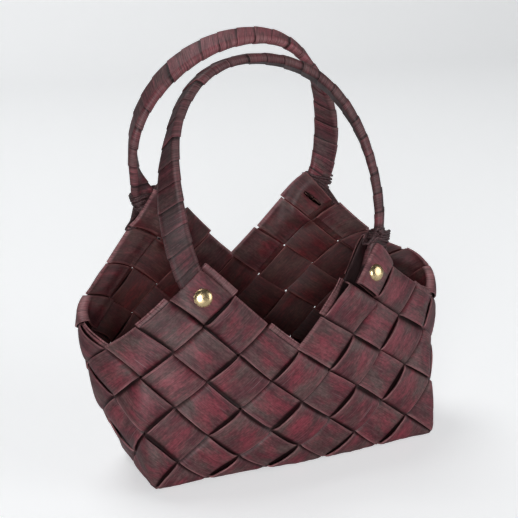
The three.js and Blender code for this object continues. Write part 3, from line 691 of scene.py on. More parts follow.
def rivet_tree(name):
    """Sets one rivet form on each point, turned by the point's rotation."""
    nodes, start = group(name, ("Form", "NodeSocketObject", None))
    form = nodes.add("GeometryNodeObjectInfo", Object=start["Form"]).outputs["Geometry"]
    turn = nodes.add("GeometryNodeInputNamedAttribute", {"data_type": "QUATERNION"}, Name="turn")
    points = nodes.add("GeometryNodeMeshToPoints", Mesh=start["Geometry"])
    placed = nodes.add("GeometryNodeInstanceOnPoints", Points=points, Instance=form, Rotation=turn)
    return close(nodes, start, placed)


def cord_tree(name):
    """Runs a round cord along a line of points."""
    nodes, start = group(name, ("Diameter", "NodeSocketFloat", 0.0013), ("Sides", "NodeSocketInt", 10))
    line = nodes.add("GeometryNodeMeshToCurve", Mesh=start["Geometry"])
    radius = nodes.maths("MULTIPLY", start["Diameter"], 0.5)
    ring = nodes.add("GeometryNodeCurvePrimitiveCircle", Resolution=start["Sides"], Radius=radius)
    width = nodes.add("GeometryNodeInputNamedAttribute", {"data_type": "FLOAT"}, Name="width")
    cord = nodes.add("GeometryNodeCurveToMesh", Curve=line, Profile_Curve=ring, Scale=width, Fill_Caps=True)
    return close(nodes, start, cord)


TREES = {"veneer": veneer_tree, "rivets": rivet_tree, "cord": cord_tree}


def grow(piece, key, **values):
    """Runs a node tree on a piece and keeps the result as its plain mesh."""
    tree = bpy.data.node_groups.get(key) or TREES[key](key)
    modifier = piece.modifiers.new(key, "NODES")
    modifier.node_group = tree
    for item in tree.interface.items_tree:
        wanted = item.name.replace(" ", "_").lower()
        if item.in_out == "INPUT" and wanted in values:
            modifier[item.identifier] = values[wanted]
    bpy.context.view_layer.update()
    evaluated = piece.evaluated_get(bpy.context.evaluated_depsgraph_get())
    mesh = bpy.data.meshes.new_from_object(evaluated)
    piece.modifiers.remove(modifier)
    piece.data = mesh
    mesh.name = piece.name


# Materials

def shader(name):
    material = bpy.data.materials.new(name)
    material.use_nodes = True
    return material, Nodes(material.node_tree), material.node_tree.nodes["Principled BSDF"].inputs


# Noises of the veneer: waves in a metre along and across the strip, detail, roughness and shift
BLOTCHES, PATCHES = ((60, 95, 1), 5, 0.62), ((52, 120, 1), 4, 0.62, 5.3)
MOTTLE, SCRATCHES = ((600, 900, 1), 3, 0.65, 7.7), ((45, 1700, 1), 2, 0.5, 3.9)
# Widths of the streaks and the fibres, how dark the streaks are, how red and how light the dye is
STRIP_GRAIN = {"streak": 0.0030, "fibre": 0.00045, "darkness": 0.35, "redness": 0.7, "shade": 1.0}
RIBBON_GRAIN = {"streak": 0.0010, "fibre": 0.0004, "darkness": 0.95}
RIBBON_DYES = {"front": {"redness": 0.50, "shade": 0.50}, "rear": {"redness": 0.80, "shade": 0.85}}
# How strongly painted shade darkens veneer that lies under a crossing strip or against the wall.
SLIT_SHADE_STRENGTH = 0.85


def veneer_material(name, streak, fibre, darkness, redness, shade):
    """Dyed veneer: soft blotches, streaks and fibres along the strip, scuffs, and folds and edges that are
    rubbed and carry a painted highlight; painted shade on the inner face and under crossing strips.
    """
    finish = settings().finish
    grey, wine = (tuple(shade * part for part in dye) for dye in (finish.grey, finish.wine))
    material, nodes, surface = shader(name)
    uv = nodes.add("ShaderNodeUVMap", {"uv_map": "grain"})
    blotches, patches = nodes.noise(uv, *BLOTCHES), nodes.noise(uv, *PATCHES)
    streaks = nodes.noise(uv, (42, 1 / streak, 1), 3, 0.6, 2.1)
    fibres = nodes.noise(uv, (90, 1 / fibre, 1), 3, 0.6)
    mottle, scratches = nodes.noise(uv, *MOTTLE), nodes.noise(uv, *SCRATCHES)
    base = nodes.ramp(blotches, (0.38, grey), (0.58, wine))
    lifted = nodes.maths("ADD", patches, nodes.maths("MULTIPLY_ADD", nodes.field("rise"), 0.12, -0.06))
    base = nodes.blend(nodes.ramp(lifted, (0.47, 0.0), (0.66, redness)), base, finish.red)
    base = nodes.blend(nodes.ramp(streaks, (0.32, darkness), (0.52, 0.0)), base, finish.dark)
    base = nodes.blend(1.0, base, nodes.ramp(fibres, (0.34, 0.70), (0.5, 1.0), (0.66, 1.3)), "MULTIPLY")
    base = nodes.blend(1.0, base, nodes.ramp(mottle, (0.36, 0.72), (0.5, 1.0), (0.64, 1.3)), "MULTIPLY")
    scuffed = nodes.ramp(blotches, (0.50, 0.0), (0.62, 1.0))
    scuffs = nodes.maths("MULTIPLY", scuffed, nodes.ramp(scratches, (0.60, 0.0), (0.70, 0.45)))
    base = nodes.blend(scuffs, base, finish.scuff)
    # Partly painted highlight: rubbed folds and edges are lightened towards a pale pink.
    rubbed_and_highlit = nodes.maths("MULTIPLY", nodes.field("wear"), nodes.ramp(fibres, (0.38, 0.15), (0.60, 0.95)))
    base = nodes.blend(rubbed_and_highlit, base, finish.worn_and_highlight)
    # Painted shade: the inner face and the tails inside the basket are multiplied by the darker inner tint.
    inside = nodes.field("inside")
    inner = nodes.maths("MAXIMUM", inside, nodes.field("tail"))
    base = nodes.blend(inner, base, finish.inner, "MULTIPLY")
    # Painted shade: veneer under a crossing strip, or whose face lies against the wall, is darkened to near
    # black so the slits look deep.
    under = nodes.maths("SUBTRACT", nodes.maths("SUBTRACT", 1.0, nodes.field("laid")), inside)
    slit_shade = nodes.maths("MULTIPLY", nodes.maths("ABSOLUTE", under), SLIT_SHADE_STRENGTH)
    nodes.feed(surface["Base Color"], nodes.blend(slit_shade, base, finish.slit_shade))
    nodes.feed(surface["Roughness"], nodes.between(patches, 0.35, 0.65, 0.58, 0.44))
    nodes.feed(surface["Normal"], nodes.bump(nodes.blend(0.5, fibres, streaks), 0.0004))
    surface["Specular IOR Level"].default_value = 0.38
    return material


def speckles(nodes, scale, detail, first, second):
    """A noise on the object's coordinates and its ramp through two tones, each with its place."""
    noise = nodes.noise(nodes.add("ShaderNodeTexCoord").outputs["Object"], scale, detail)
    return noise, nodes.ramp(noise, first, second)


def brass_material():
    finish = settings().finish
    material, nodes, surface = shader("polished_brass")
    noise, tone = speckles(nodes, (900, 900, 900), 3.0, (0.3, finish.dull_brass), (0.7, finish.brass))
    # The legs take the dark colour that is partly tarnish and partly painted shade.
    nodes.feed(surface["Base Color"], nodes.blend(nodes.field("tarnish"), tone, finish.tarnish))
    nodes.feed(surface["Roughness"], nodes.between(noise, 0.3, 0.7, 0.2, 0.34))
    surface["Metallic"].default_value = 1.0
    return material


def cord_material():
    dark = settings().finish.cord
    light = tuple(5.0 * part for part in dark)
    material, nodes, surface = shader("dark_cord")
    noise, tone = speckles(nodes, (1400, 1400, 1400), 4.0, (0.40, dark), (0.68, light))
    nodes.feed(surface["Base Color"], tone)
    nodes.feed(surface["Normal"], nodes.bump(noise, 0.0002))
    surface["Roughness"].default_value = 0.6
    return material


def band_material():
    finish = settings().finish
    material, nodes, surface = shader("band_timber")
    _, tone = speckles(nodes, (900, 900, 90), 4.0, (0.3, finish.dark), (0.7, finish.wine))
    nodes.feed(surface["Base Color"], tone)
    surface["Roughness"].default_value = 0.7
    return material


# Handles

# Each hoop: its ribbon's hand and lead, the blush and the rub of its top, its height, the pull and the shift
# of its crown, and the degrees by which it leans and its face turns.
# Each leg: the pull of its foot, where its twist starts, its length and its share at the foot.
HOOPS = {
    "front": {
        "hand": 1, "lead": 0.0098, "blush": -0.6, "rub": 0.0,
        "height": 0.1097, "crown_reach": 0.059, "sway": -0.002, "lean": 21.0, "face": 11.0,
        "left": {"reach": 0.026, "start": 0.013, "length": 0.076, "foot_twist": 0.0},
        "right": {"reach": 0.041, "start": 0.026, "length": 0.109, "foot_twist": 0.5},
    },
    "rear": {
        "hand": -1, "lead": 0.0095, "blush": 1.3, "rub": 0.45,
        "height": 0.088, "crown_reach": 0.044, "sway": 0.0065, "lean": -7.5, "face": 22.0,
        "left": {"reach": 0.055, "start": 0.013, "length": 0.080, "foot_twist": 0.5},
        "right": {"reach": 0.029, "start": 0.009, "length": 0.079, "foot_twist": 0.0},
    },
}
LEG_STEPS, HOOP_STEP = 1500, 0.0004
# The band's corner radius as a share of half its thickness
CORNER_SHARE = 0.9
# The ribbon's columns, its stations in a turn, and the share of its width where the next turn's seam lies,
# with painted shade beside that seam
RIBBON_COLUMNS = np.array([0, 0.03, 0.1, 0.3, 0.5, 0.68, 0.73, 0.78, 0.9, 1.0])
RIBBON_STATIONS, RIBBON_SEAM = 40, (0.68, 0.09)
RIBBON_SWAY, RIBBON_PUCKER, RIBBON_LAP = 0.0007, 0.00012, 1.15
# Wear of the ribbon's edges and where it goes over the band's corners
RIBBON_EDGE_WEAR, RIBBON_CORNER_WEAR, RIBBON_CORNER = 0.3, 0.25, (0.88, 0.1)
# The size of the ribbon's ripples, and how far apart on the grain the two ribbons lie
RIBBON_RIPPLE_SIZE, RIBBON_GRAIN_STEP = 260.0, 3.3


class Handle:
    def __init__(self, side):
        self.hoop = hoop = HOOPS[side]
        self.size = settings().handles
        wall = Wall()
        spot = PEAKS[f"{side}_left"]
        s, k = spot["s"], spot["k"]
        foot = wall.point(s, k)
        above, below = wall.point(s, k + 1), wall.point(s, k - 1)
        wall_lean = math.atan2(above[1] - below[1], above[2] - below[2])
        lean = math.radians(hoop["lean"])
        left, right = (
            self.side_line(abs(foot[0]), hoop[leg]["reach"], PEAKS[f"{side}_{leg}"]["tilt"])
            for leg in ("left", "right")
        )
        flat = np.concatenate([left * [-1, 1], right[-2::-1]])
        settle = self.size.settle_length
        settling = settle * (1 - np.exp(-flat[:, 1] / settle))
        back = flat[:, 1] * math.sin(lean) + (math.sin(wall_lean) - math.sin(lean)) * settling
        sideways = flat[:, 0] + hoop["sway"] * flat[:, 1] / hoop["height"]
        self.line = points_of(sideways, foot[1] + back, foot[2] + flat[:, 1] * math.cos(lean))
        self.run = run_along(self.line)
        self.length = self.run[-1]
        self.crown_turn = math.copysign(np.pi / 2 + math.radians(hoop["face"]), hoop["lean"])
        ahead = unit(wall.point(s + 0.001, k) - foot)
        _, _, across, radial = self.hoop_frame(np.array([0.0]))
        self.foot_turn = math.atan(float(ahead @ across[0]) / float(ahead @ radial[0]))

    def side_line(self, half, reach, tilt):
        """Half of the hoop in its own plane, from a foot to the crown."""
        tilt, hoop = math.radians(tilt), self.hoop
        knee = (half + reach * math.sin(tilt), reach * math.cos(tilt))
        points = ((half, 0), knee, (hoop["crown_reach"], hoop["height"]), (0, hoop["height"]))
        t = np.linspace(0, 1, LEG_STEPS)[:, None]
        weights = ((1 - t) ** 3, 3 * t * (1 - t) ** 2, 3 * t * t * (1 - t), t ** 3)
        return sum(weight * np.array(point) for weight, point in zip(weights, points))

    def at(self, l):
        return points_of(*(np.interp(l, self.run, axis) for axis in self.line.T))

    def hoop_frame(self, l):
        """Centre, direction, backward direction and outward direction at lengths along the hoop."""
        inside = np.clip(l, 0, self.length)
        first, last = (np.clip(inside + step, 0, self.length) for step in (-HOOP_STEP, HOOP_STEP))
        along = unit(self.at(last) - self.at(first))
        centre = self.at(inside) + along * (l - inside)[:, None]
        across = unit(np.array([0, 1.0, 0]) - along[:, 1:2] * along)
        return centre, along, across, np.cross(along, across)

    def band_frame(self, l):
        """Centre of the band and the directions of its width and its thickness."""
        centre, along, across, radial = self.hoop_frame(l)
        start, stretch, foot_twist = (
            np.where(l < self.length / 2, self.hoop["left"][key], self.hoop["right"][key])
            for key in ("start", "length", "foot_twist")
        )
        from_foot = np.minimum(l, self.length - l)
        early = foot_twist * smooth_step(from_foot, self.size.twist_start, self.size.twist_length)
        share = early + (1 - early) * smooth_step(from_foot, start, stretch)
        turn = (self.foot_turn + (self.crown_turn - self.foot_turn) * share)[:, None]
        wide = radial * np.cos(turn) + across * np.sin(turn)
        return centre, wide, np.cross(along, wide)

    def section(self, share, grow_by):
        """Point of the rounded band section at a share of its perimeter, grown outward."""
        wide, thick = self.size.band_width / 2, self.size.band_thickness / 2
        radius = thick * CORNER_SHARE
        a, b = wide - radius, thick - radius
        corners = np.array([[a, -b], [a, b], [-a, b], [-a, -b]])
        arc = np.pi / 2 * radius
        legs = np.array([2 * b, arc, 2 * a, arc] * 2)
        ends = np.cumsum(legs)
        place = np.mod(share, 1) * ends[-1]
        leg = np.minimum(np.searchsorted(ends, place, side="right"), len(legs) - 1)
        inside = (place - (ends[leg] - legs[leg])) / legs[leg]
        turn = leg // 2 * np.pi / 2 + np.where(leg % 2 == 1, inside, 0) * np.pi / 2
        first, last = corners[(leg + 1) // 2 % 4], corners[(leg // 2 + 1) % 4]
        centre = first + (last - first) * np.where(leg % 2 == 0, inside, 0)[..., None]
        return centre + points_of(np.cos(turn), np.sin(turn)) * (radius + grow_by)[..., None]

    def on_band(self, l, share, grow_by):
        centre, wide, thick = self.band_frame(l.ravel())
        flat = self.section(share.ravel(), grow_by.ravel())
        points = centre + wide * flat[:, :1] + thick * flat[:, 1:]
        return points.reshape(l.shape + (3,))

    def ribbon_mesh(self, name, seed):
        size, hoop, across = self.size, self.hoop, RIBBON_COLUMNS[None, :]
        random = np.random.default_rng(seed)
        cover = hoop["lead"] * (1 + size.ribbon_overlap)
        turns = (self.length + 2 * size.foot - cover) / hoop["lead"]
        turn = np.linspace(0, turns, int(turns * RIBBON_STATIONS) + 1)[:, None]
        sway = slow_noise(random, turn, 3, 3.1) * RIBBON_SWAY
        l = -size.foot + cover / 2 + hoop["lead"] * turn + sway + (across - 0.5) * cover
        lap = RIBBON_LAP * size.ribbon_thickness * (1 - across)
        pucker = RIBBON_PUCKER * slow_noise(random, turn * 9, 4, 1.3) * (0.4 + 0.6 * (1 - across))
        grow_by = size.ribbon_gap + size.ribbon_thickness / 2 + lap + np.maximum(pucker, 0)
        share = np.broadcast_to(turn, l.shape) * hoop["hand"]
        points = self.on_band(l, share, grow_by)
        outward = self.on_band(l, share, grow_by + 0.001) - points
        sideways = self.section(share.ravel(), grow_by.ravel())[:, 0].reshape(l.shape)
        place = turn * 2 * (size.band_width + size.band_thickness) + seed * RIBBON_GRAIN_STEP
        grain = points_of(place, (across - 0.5) * cover)
        crown = np.sin(np.pi * np.clip(l / self.length, 0, 1)) ** 6
        corner = smooth_step(2 * np.abs(sideways) / size.band_width, *RIBBON_CORNER)
        edge_wear_and_highlight = RIBBON_EDGE_WEAR * np.abs(2 * across - 1) ** 14
        wear = np.maximum(edge_wear_and_highlight, RIBBON_CORNER_WEAR * corner) + hoop["rub"] * crown
        # Painted shade: the part of the ribbon under the next turn, beside its seam, is marked as covered
        # and darkened by the material.
        rise, laid = 0.3 + hoop["blush"] * crown, 1 - smooth_step(across, *RIBBON_SEAM)
        return sheet_mesh(name, points, grain, outward, wear=wear, rise=rise, laid=laid)


# Rivets

# Air under a rivet's head and between its legs and the inner layer
HEAD_SEAT, LEG_SEAT = 0.0001, 0.0006
# A head's flat underside as a share of its radius, its straight rim and the roundness of its dome
UNDERSIDE_SHARE, HEAD_RIM, DOME_POWER, HEAD_SIDES = 0.93, 0.00022, 0.92, 40
# Legs: how much narrower and thinner they get, and how far their tips rise
LEG_TAPER, LEG_THINNING, LEG_TIP = 0.55, 0.45, 0.0003


def rivet_seat(wall, spot):
    """Height of a head's underside over the wall's middle, and the depth of the legs below it."""
    weave = wall.weave
    pocket = float(wall.pocket(spot["s"], spot["k"]))
    outside = pocket + weave.layer + weave.thickness / 2
    tail = weave.deep_tail if spot["tails"] == 2 else weave.tail
    inside = wall.size.inner_share * pocket + tail + weave.thickness / 2
    return outside + HEAD_SEAT, outside + inside + LEG_SEAT


def rivet_turn(out):
    """Rotation that points a rivet's head outward and lays its legs aslant."""
    out = Vector(out)
    side = Vector((0, 0, 1)).cross(out).normalized()
    upright = Matrix((side, out.cross(side), out)).transposed()
    slant = Matrix.Rotation(math.radians(settings().rivets.leg_slant), 3, "Z")
    return list((upright @ slant).to_quaternion())


def tube(rings):
    """Points and faces of a closed tube through rings of points."""
    sides, last = len(rings[0]), len(rings) - 1
    faces = [tuple(range(sides))[::-1], tuple(range(last * sides, (last + 1) * sides))]
    for ring in range(last):
        for n in range(sides):
            a, b = ring * sides + n, ring * sides + (n + 1) % sides
            faces.append((a, b, b + sides, a + sides))
    return [point for ring in rings for point in ring], faces


def leg_rings(way, depth):
    """One leg: a tapered strap that bends from the shank onto the inner veneer."""
    size = settings().rivets
    rings = []
    for share in np.linspace(0, 1, 9):
        along = way * size.leg_span / 2 * share
        half = size.leg_width / 2 * (1 - LEG_TAPER * share ** 3)
        low = -depth + LEG_TIP * share * share
        high = low + size.leg_thickness * (1 - LEG_THINNING * share)
        ring = [(along, -half, low), (along, half, low), (along, half, high), (along, -half, high)]
        rings.append(ring[::way])
    return rings


def rivet_form(depth):
    """One rivet with its head on z = 0: the dome above, the shank and two bent legs below."""
    size = settings().rivets
    radius, shank = size.head / 2, size.shank / 2
    profile = [(shank, -depth + size.leg_thickness / 2), (shank, 0.0)]
    profile += [(radius * UNDERSIDE_SHARE, 0.0), (radius, HEAD_RIM)]
    for turn in np.linspace(0.06, 0.97, 12) * math.pi / 2:
        profile.append((radius * math.cos(turn) ** DOME_POWER, size.dome * math.sin(turn)))
    turns = np.linspace(0, TAU, HEAD_SIDES, endpoint=False)
    body = [[(wide * math.cos(t), wide * math.sin(t), height) for t in turns] for wide, height in profile]
    points, faces = [], []
    for rings in (body, leg_rings(-1, depth), leg_rings(1, depth)):
        more_points, more_faces = tube(rings)
        faces += [tuple(n + len(points) for n in face) for face in more_faces]
        points += more_points
    mesh = bpy.data.meshes.new("rivet_form")
    mesh.from_pydata(points, [], faces)
    # Marks the legs for the dark colour that is partly tarnish and partly painted shade.
    tarnish = [float(point[2] < -LEG_TIP) for point in points]
    mesh.attributes.new("tarnish", "FLOAT", "POINT").data.foreach_set("value", tarnish)
    return mesh


# Lashings

# Each cord: its hoop, whether it binds the right leg, the spot of the wall that it is hitched to, where its
# turns start, their number and their tilt, the side of its knot, the length of its frayed ends and its seed
LASHINGS = {
    "front_right_lashing": ("front", True, (1.5, 7.75), 0.0165, 4.0, 0.0006, (-0.7, -1, 0.15), 0.0022, 11),
    "rear_left_lashing": ("rear", False, (-4.98, 8.9), 0.0055, 6.0, 0.0022, (1, -0.2, 0.4), 0.0060, 12),
    "rear_right_lashing": ("rear", True, (5.02, 8.9), 0.0048, 6.0, 0.0008, (0.3, 1, 0), 0.0020, 13),
}
# How far the turns, the hitches, the knot and the search for the corner lie off the band
TURNS_OFF, HITCH_OFF, KNOT_OFF, CORNER_OFF = 0.0017, 0.0025, 0.0036, 0.002
# Turns: their uneven run and seat, how close they pack and the points of each
TURN_SWAY, TURN_SWELL, TURN_PACKING, TURN_POINTS = 0.0006, 0.0003, 1.05, 28
# Hitches: from one to the next along the leg, off it and sideways, their points and how high they arch
HITCH_STEP, HITCH_RISE, HITCH_SPREAD, HITCH_POINTS, HITCH_ARCH = 0.0012, 0.0003, 0.0011, 30, 0.0022
# How far a hitch's ends lie off the wall, and how much more with each one
HITCH_END, HITCH_END_STEP = 0.0018, 0.0002
# Knot: radius of its first loop and how much wider each is. Frayed ends: least length and bend
KNOT_RADIUS, KNOT_STEP, TUFT_LENGTH, TUFT_BEND = 0.0016, 0.0003, 0.0022, 0.0014


def rounded(points):
    """Cuts the corners of a line twice."""
    for _ in range(2):
        first, last = points[:-1], points[1:]
        cut = np.stack([0.75 * first + 0.25 * last, 0.25 * first + 0.75 * last], axis=1)
        points = np.concatenate([points[:1], cut.reshape(-1, 3), points[-1:]])
    return points


class Lashing:
    """Turns of cord round a leg, loops that hitch it to the corner of its peak, a knot and frayed ends."""

    def __init__(self, side, at_right, hitch, start, turns, tilt, knot_way, tuft_length, seed):
        self.handle = Handle(side)
        self.at_right, self.start, self.turns, self.tilt = at_right, start, turns, tilt
        self.random = np.random.default_rng(seed)
        self.cord = self.handle.size.cord
        wall = Wall()
        self.corner, self.out = wall.settled(wall.point(*hitch)), wall.normal(*hitch)
        self.knot_way, self.tuft_length = unit(np.array(knot_way, float)), tuft_length
        height = start + 0.6 * turns * self.cord
        _, round_leg = self.round_leg(height, KNOT_OFF)
        self.knot_centre = round_leg[np.argmax(round_leg @ self.knot_way)]

    def spot(self, height, share, grow_by):
        """Points on the leg at a height above its foot and a share of the way round it."""
        height, share, grow_by = np.broadcast_arrays(*(np.atleast_1d(v) for v in (height, share, grow_by)))
        l = self.handle.length - height if self.at_right else height
        return self.handle.on_band(l, share, grow_by)

    def round_leg(self, height, off):
        """Shares of the way round the leg, and the points there."""
        shares = np.linspace(0, 1, 48, endpoint=False)
        return shares, self.spot(height, shares, off)

    def winding(self):
        turn = np.linspace(0, self.turns, int(self.turns * TURN_POINTS))
        sway = TURN_SWAY * slow_noise(self.random, turn, 3, 5.0) + self.tilt * np.cos(TAU * turn)
        height = self.start + turn * self.cord * TURN_PACKING + sway
        return self.spot(height, turn, TURNS_OFF + TURN_SWELL * slow_noise(self.random, turn * 3, 3, 2.0))

    def hitch(self, number):
        """A loop round the leg whose two ends go down to the peak's corner."""
        height = self.start + HITCH_STEP * number
        shares, points = self.round_leg(height, CORNER_OFF)
        nearest = shares[np.argmin(np.linalg.norm(points - self.corner, axis=-1))]
        arch = HITCH_ARCH * np.sin(np.linspace(0, math.pi, HITCH_POINTS))
        turn = nearest + np.linspace(0.08, 0.92, HITCH_POINTS)
        loop = self.spot(height + arch, turn, HITCH_OFF + HITCH_RISE * number)
        through = self.corner + HITCH_SPREAD * (number - 1.5) * unit(np.cross(self.out, [0, 0, 1.0]))
        off = HITCH_END + HITCH_END_STEP * number
        ends = [through + self.out * way * off for way in (-1, 1)]
        ends.sort(key=lambda end: np.linalg.norm(loop[0] - end))
        return rounded(np.concatenate([[through, ends[0]], loop, [ends[1], through]]))

    def knot(self, number):
        """One loop of the knot beside the leg."""
        axis = unit(self.knot_way + 0.9 * self.random.normal(size=3))
        first = unit(np.cross(axis, self.random.normal(size=3)))
        turn = np.linspace(0, TAU, 25)[:, None]
        loop = np.cos(turn) * first + np.sin(turn) * np.cross(axis, first)
        return self.knot_centre + (KNOT_RADIUS + KNOT_STEP * number) * loop

    def tuft(self, _):
        """A short frayed end that sticks out of the knot."""
        away = unit(self.knot_way + 0.4 * self.random.normal(size=3))
        bend = unit(self.random.normal(size=3)) * TUFT_BEND
        tip = away * (TUFT_LENGTH + self.tuft_length * self.random.uniform(0.6, 1))
        return rounded(self.knot_centre + np.array([0 * tip, tip * 0.5, tip + bend]))

    def mesh(self, name):
        lines = [(self.winding(), 1.0)]
        for make, times, width in ((self.hitch, 4, 0.9), (self.knot, 4, 0.9), (self.tuft, 6, 0.6)):
            lines += [(make(number), width) for number in range(times)]
        points, edges, widths = [], [], []
        for line, width in lines:
            edges += [(len(points) + n, len(points) + n + 1) for n in range(len(line) - 1)]
            points += line.tolist()
            widths += [width] * len(line)
        mesh = bpy.data.meshes.new(name)
        mesh.from_pydata(points, edges, [])
        mesh.attributes.new("width", "FLOAT", "POINT").data.foreach_set("value", widths)
        return mesh


# Stage

# Soft lights: their places, their diameters and their power as a multiple of the key light's setting
LIGHTS = {
    "key_light": ((-1.0, -1.75, 0.5), 1.1, 3.3),
    "fill_light": ((1.5, -1.2, 0.45), 1.4, 1.5),
    "top_light": ((-0.3, 0.75, 1.8), 1.0, 1.3),
}
LIGHT_TARGET = (0, 0, 0.08)
CAMERA_PLACE, CAMERA_TARGET, SENSOR_WIDTH = (-0.2133, -0.4441, 0.2501), (-0.0072, 0.0, 0.1004), 36
# The room's brightness as a light, and how much more of it the camera sees
ROOM_LIGHT, ROOM_SEEN = 0.07, 0.82
# The floor's front and back ends, the radius and the height of the backdrop, and half their width
FLOOR_FRONT, FLOOR_BACK, SWEEP_RADIUS, SWEEP_HEIGHT, FLOOR_HALF = -3.0, 1.4, 0.6, 3.0, 4.0


def sweep(stage):
    """A floor that curves up into the backdrop behind the basket."""
    profile = [(FLOOR_FRONT, 0.0), (FLOOR_BACK, 0.0)]
    for turn in np.linspace(0.1, math.pi / 2, 14):
        profile.append((FLOOR_BACK + SWEEP_RADIUS * math.sin(turn), SWEEP_RADIUS * (1 - math.cos(turn))))
    profile.append((FLOOR_BACK + SWEEP_RADIUS, SWEEP_HEIGHT))
    points = [(x, y, z) for y, z in profile for x in (-FLOOR_HALF, FLOOR_HALF)]
    faces = [(2 * n, 2 * n + 1, 2 * n + 3, 2 * n + 2) for n in range(len(profile) - 1)]
    mesh = bpy.data.meshes.new("floor")
    mesh.from_pydata(points, [], faces)
    mesh.shade_smooth()
    material, nodes, surface = shader("pale_floor")
    nodes.feed(surface["Base Color"], stage.floor)
    nodes.feed(surface["Emission Color"], stage.floor)
    surface["Roughness"].default_value = 0.85
    seen = nodes.add("ShaderNodeLightPath").outputs["Is Camera Ray"]
    nodes.feed(surface["Emission Strength"], nodes.maths("MULTIPLY", seen, stage.lift))
    mesh.materials.append(material)
    return put("floor", mesh)


def aimed(piece, place, target):
    piece.location = Vector(place)
    piece.rotation_euler = (Vector(target) - piece.location).to_track_quat("-Z", "Y").to_euler()
    return piece


def soft_light(name, place, size, power):
    light = bpy.data.lights.new(name, "AREA")
    light.shape = "DISK"
    light.size = size
    light.energy = power
    aimed(put(name, light), place, LIGHT_TARGET)


# Operators

def finished(piece, body, slot, *nodes):
    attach(piece, body)
    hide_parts(*nodes)


class BASKET_OT_stage(Operator):
    """Lays the pale floor, sets the soft lights and places the camera"""
    bl_idname = "basket.stage"
    bl_label = "Set stage"

    def execute(self, context):
        stage = settings().stage
        scene = context.scene
        scene.view_settings.view_transform = "Standard"
        floor = sweep(stage)
        for name, (place, size, power) in LIGHTS.items():
            soft_light(name, place, size, stage.key * power)
        world = bpy.data.worlds.new("pale_room")
        world.use_nodes = True
        nodes = Nodes(world.node_tree)
        background = world.node_tree.nodes["Background"].inputs
        seen = nodes.add("ShaderNodeLightPath").outputs["Is Camera Ray"]
        nodes.feed(background["Color"], stage.room)
        nodes.feed(background["Strength"], nodes.maths("MULTIPLY_ADD", seen, ROOM_SEEN, ROOM_LIGHT))
        scene.world = world
        camera = bpy.data.cameras.new("camera")
        camera.sensor_width = SENSOR_WIDTH
        camera.lens = stage.lens
        scene.camera = aimed(put("camera", camera), CAMERA_PLACE, CAMERA_TARGET)
        return {"FINISHED"}


class BASKET_OT_strips(Operator):
    """Plaits the body of the basket from its fourteen strips"""
    bl_idname = "basket.strips"
    bl_label = "Plait strips"

    def execute(self, context):
        weave = settings().weave
        wall = Wall()
        material = veneer_material("dyed_veneer", **STRIP_GRAIN)
        for rising in (True, False):
            for order in range(-3, 4):
                strip = Strip(wall, rising, order)
                piece = put(f"veneer_{strip.name}", strip.mesh())
                values = {"thickness": weave.thickness, "ripple": weave.ripple, "seed": weave.seed}
                grow(piece, "veneer", material=material, **values)
                finished(piece, "basket", "strip_veneer", strip.name)
        return {"FINISHED"}


class BASKET_OT_rivets(Operator):
    """Sets the four brass rivets"""
    bl_idname = "basket.rivets"
    bl_label = "Set rivets"

    def execute(self, context):
        wall = Wall()
        places, turns, depths = [], [], []
        for spot in PEAKS.values():
            s, k = spot["s"], spot["k"]
            out, centre = wall.normal(s, k), wall.point(s, k)
            seat, depth = rivet_seat(wall, spot)
            depths.append(depth)
            places.append(centre + out * seat)
            turns.append(rivet_turn(out))
        form = put("rivet_form", rivet_form(float(np.mean(depths))))
        mesh = bpy.data.meshes.new("brass_rivets")
        mesh.from_pydata([list(place) for place in places], [], [])
        attribute = mesh.attributes.new("turn", "QUATERNION", "POINT")
        attribute.data.foreach_set("value", np.array(turns, np.float32).ravel())
        piece = put("brass_rivets", mesh)
        grow(piece, "rivets", form=form, material=brass_material())
        bpy.data.objects.remove(form)
        finished(piece, "basket", "rivet_brass", *[f"{name}_rivet" for name in PEAKS])
        return {"FINISHED"}


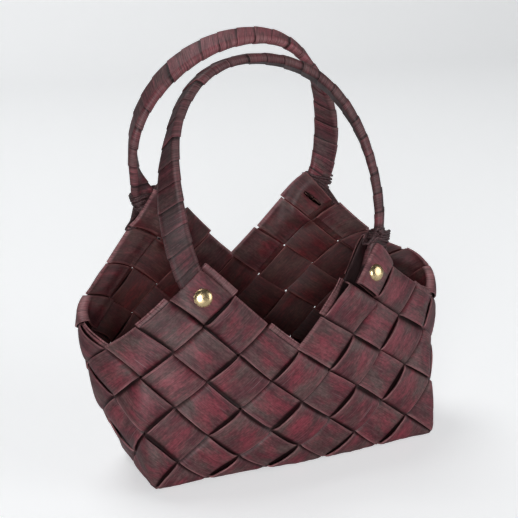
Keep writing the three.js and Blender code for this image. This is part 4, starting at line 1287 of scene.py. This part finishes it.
class BASKET_OT_handles(Operator):
    """Winds the veneer ribbon round each handle band"""
    bl_idname = "basket.handles"
    bl_label = "Wind handles"

    def execute(self, context):
        size = settings().handles
        timber = band_material()
        for seed, side in enumerate(HOOPS, start=1):
            name = f"{side}_handle_ribbon"
            piece = put(name, Handle(side).ribbon_mesh(name, seed))
            veneer = veneer_material(f"{side}_ribbon_veneer", **RIBBON_GRAIN, **RIBBON_DYES[side])
            values = {"thickness": size.ribbon_thickness, "ripple": size.ribbon_ripple, "seed": seed}
            grow(piece, "veneer", material=veneer, ripple_size=RIBBON_RIPPLE_SIZE, **values)
            finished(piece, f"{side}_handle", "wrap_veneer", f"{side}_handle_wrap")
            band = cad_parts[f"{side}_handle_band"]
            band.data.materials.clear()
            band.data.materials.append(timber)
        return {"FINISHED"}


class BASKET_OT_lashings(Operator):
    """Ties the dark cords round the handle feet"""
    bl_idname = "basket.lashings"
    bl_label = "Tie lashings"

    def execute(self, context):
        material = cord_material()
        for name, plan in LASHINGS.items():
            piece = put(f"{name}_cord", Lashing(*plan).mesh(name))
            grow(piece, "cord", diameter=settings().handles.cord, material=material)
            finished(piece, f"{plan[0]}_handle", "lashing_cord", name)
        return {"FINISHED"}


class BASKET_PT_panel(Panel):
    bl_label = "Plaited basket"
    bl_idname = "BASKET_PT_panel"
    bl_space_type = "VIEW_3D"
    bl_region_type = "UI"
    bl_category = "Basket"

    def draw(self, context):
        for operator in OPERATORS:
            self.layout.operator(operator.bl_idname)


class BasketSettings(PropertyGroup):
    weave: PointerProperty(type=BasketWeave)
    wall: PointerProperty(type=BasketWall)
    handles: PointerProperty(type=BasketHandles)
    rivets: PointerProperty(type=BasketRivets)
    finish: PointerProperty(type=BasketFinish)
    stage: PointerProperty(type=BasketStage)


GROUPS = (BasketWeave, BasketWall, BasketHandles, BasketRivets, BasketFinish, BasketStage, BasketSettings)
OPERATORS = (BASKET_OT_stage, BASKET_OT_strips, BASKET_OT_rivets, BASKET_OT_handles, BASKET_OT_lashings)
CLASSES = (*GROUPS, *OPERATORS, BASKET_PT_panel)


def register():
    for cls in CLASSES:
        bpy.utils.register_class(cls)
    bpy.types.Scene.basket = PointerProperty(type=BasketSettings)


def unregister():
    del bpy.types.Scene.basket
    for cls in reversed(CLASSES):
        bpy.utils.unregister_class(cls)


def main():
    register()
    bpy.ops.basket.stage()
    bpy.ops.basket.strips()
    bpy.ops.basket.rivets()
    bpy.ops.basket.handles()
    bpy.ops.basket.lashings()


if __name__ == "__main__":
    main()
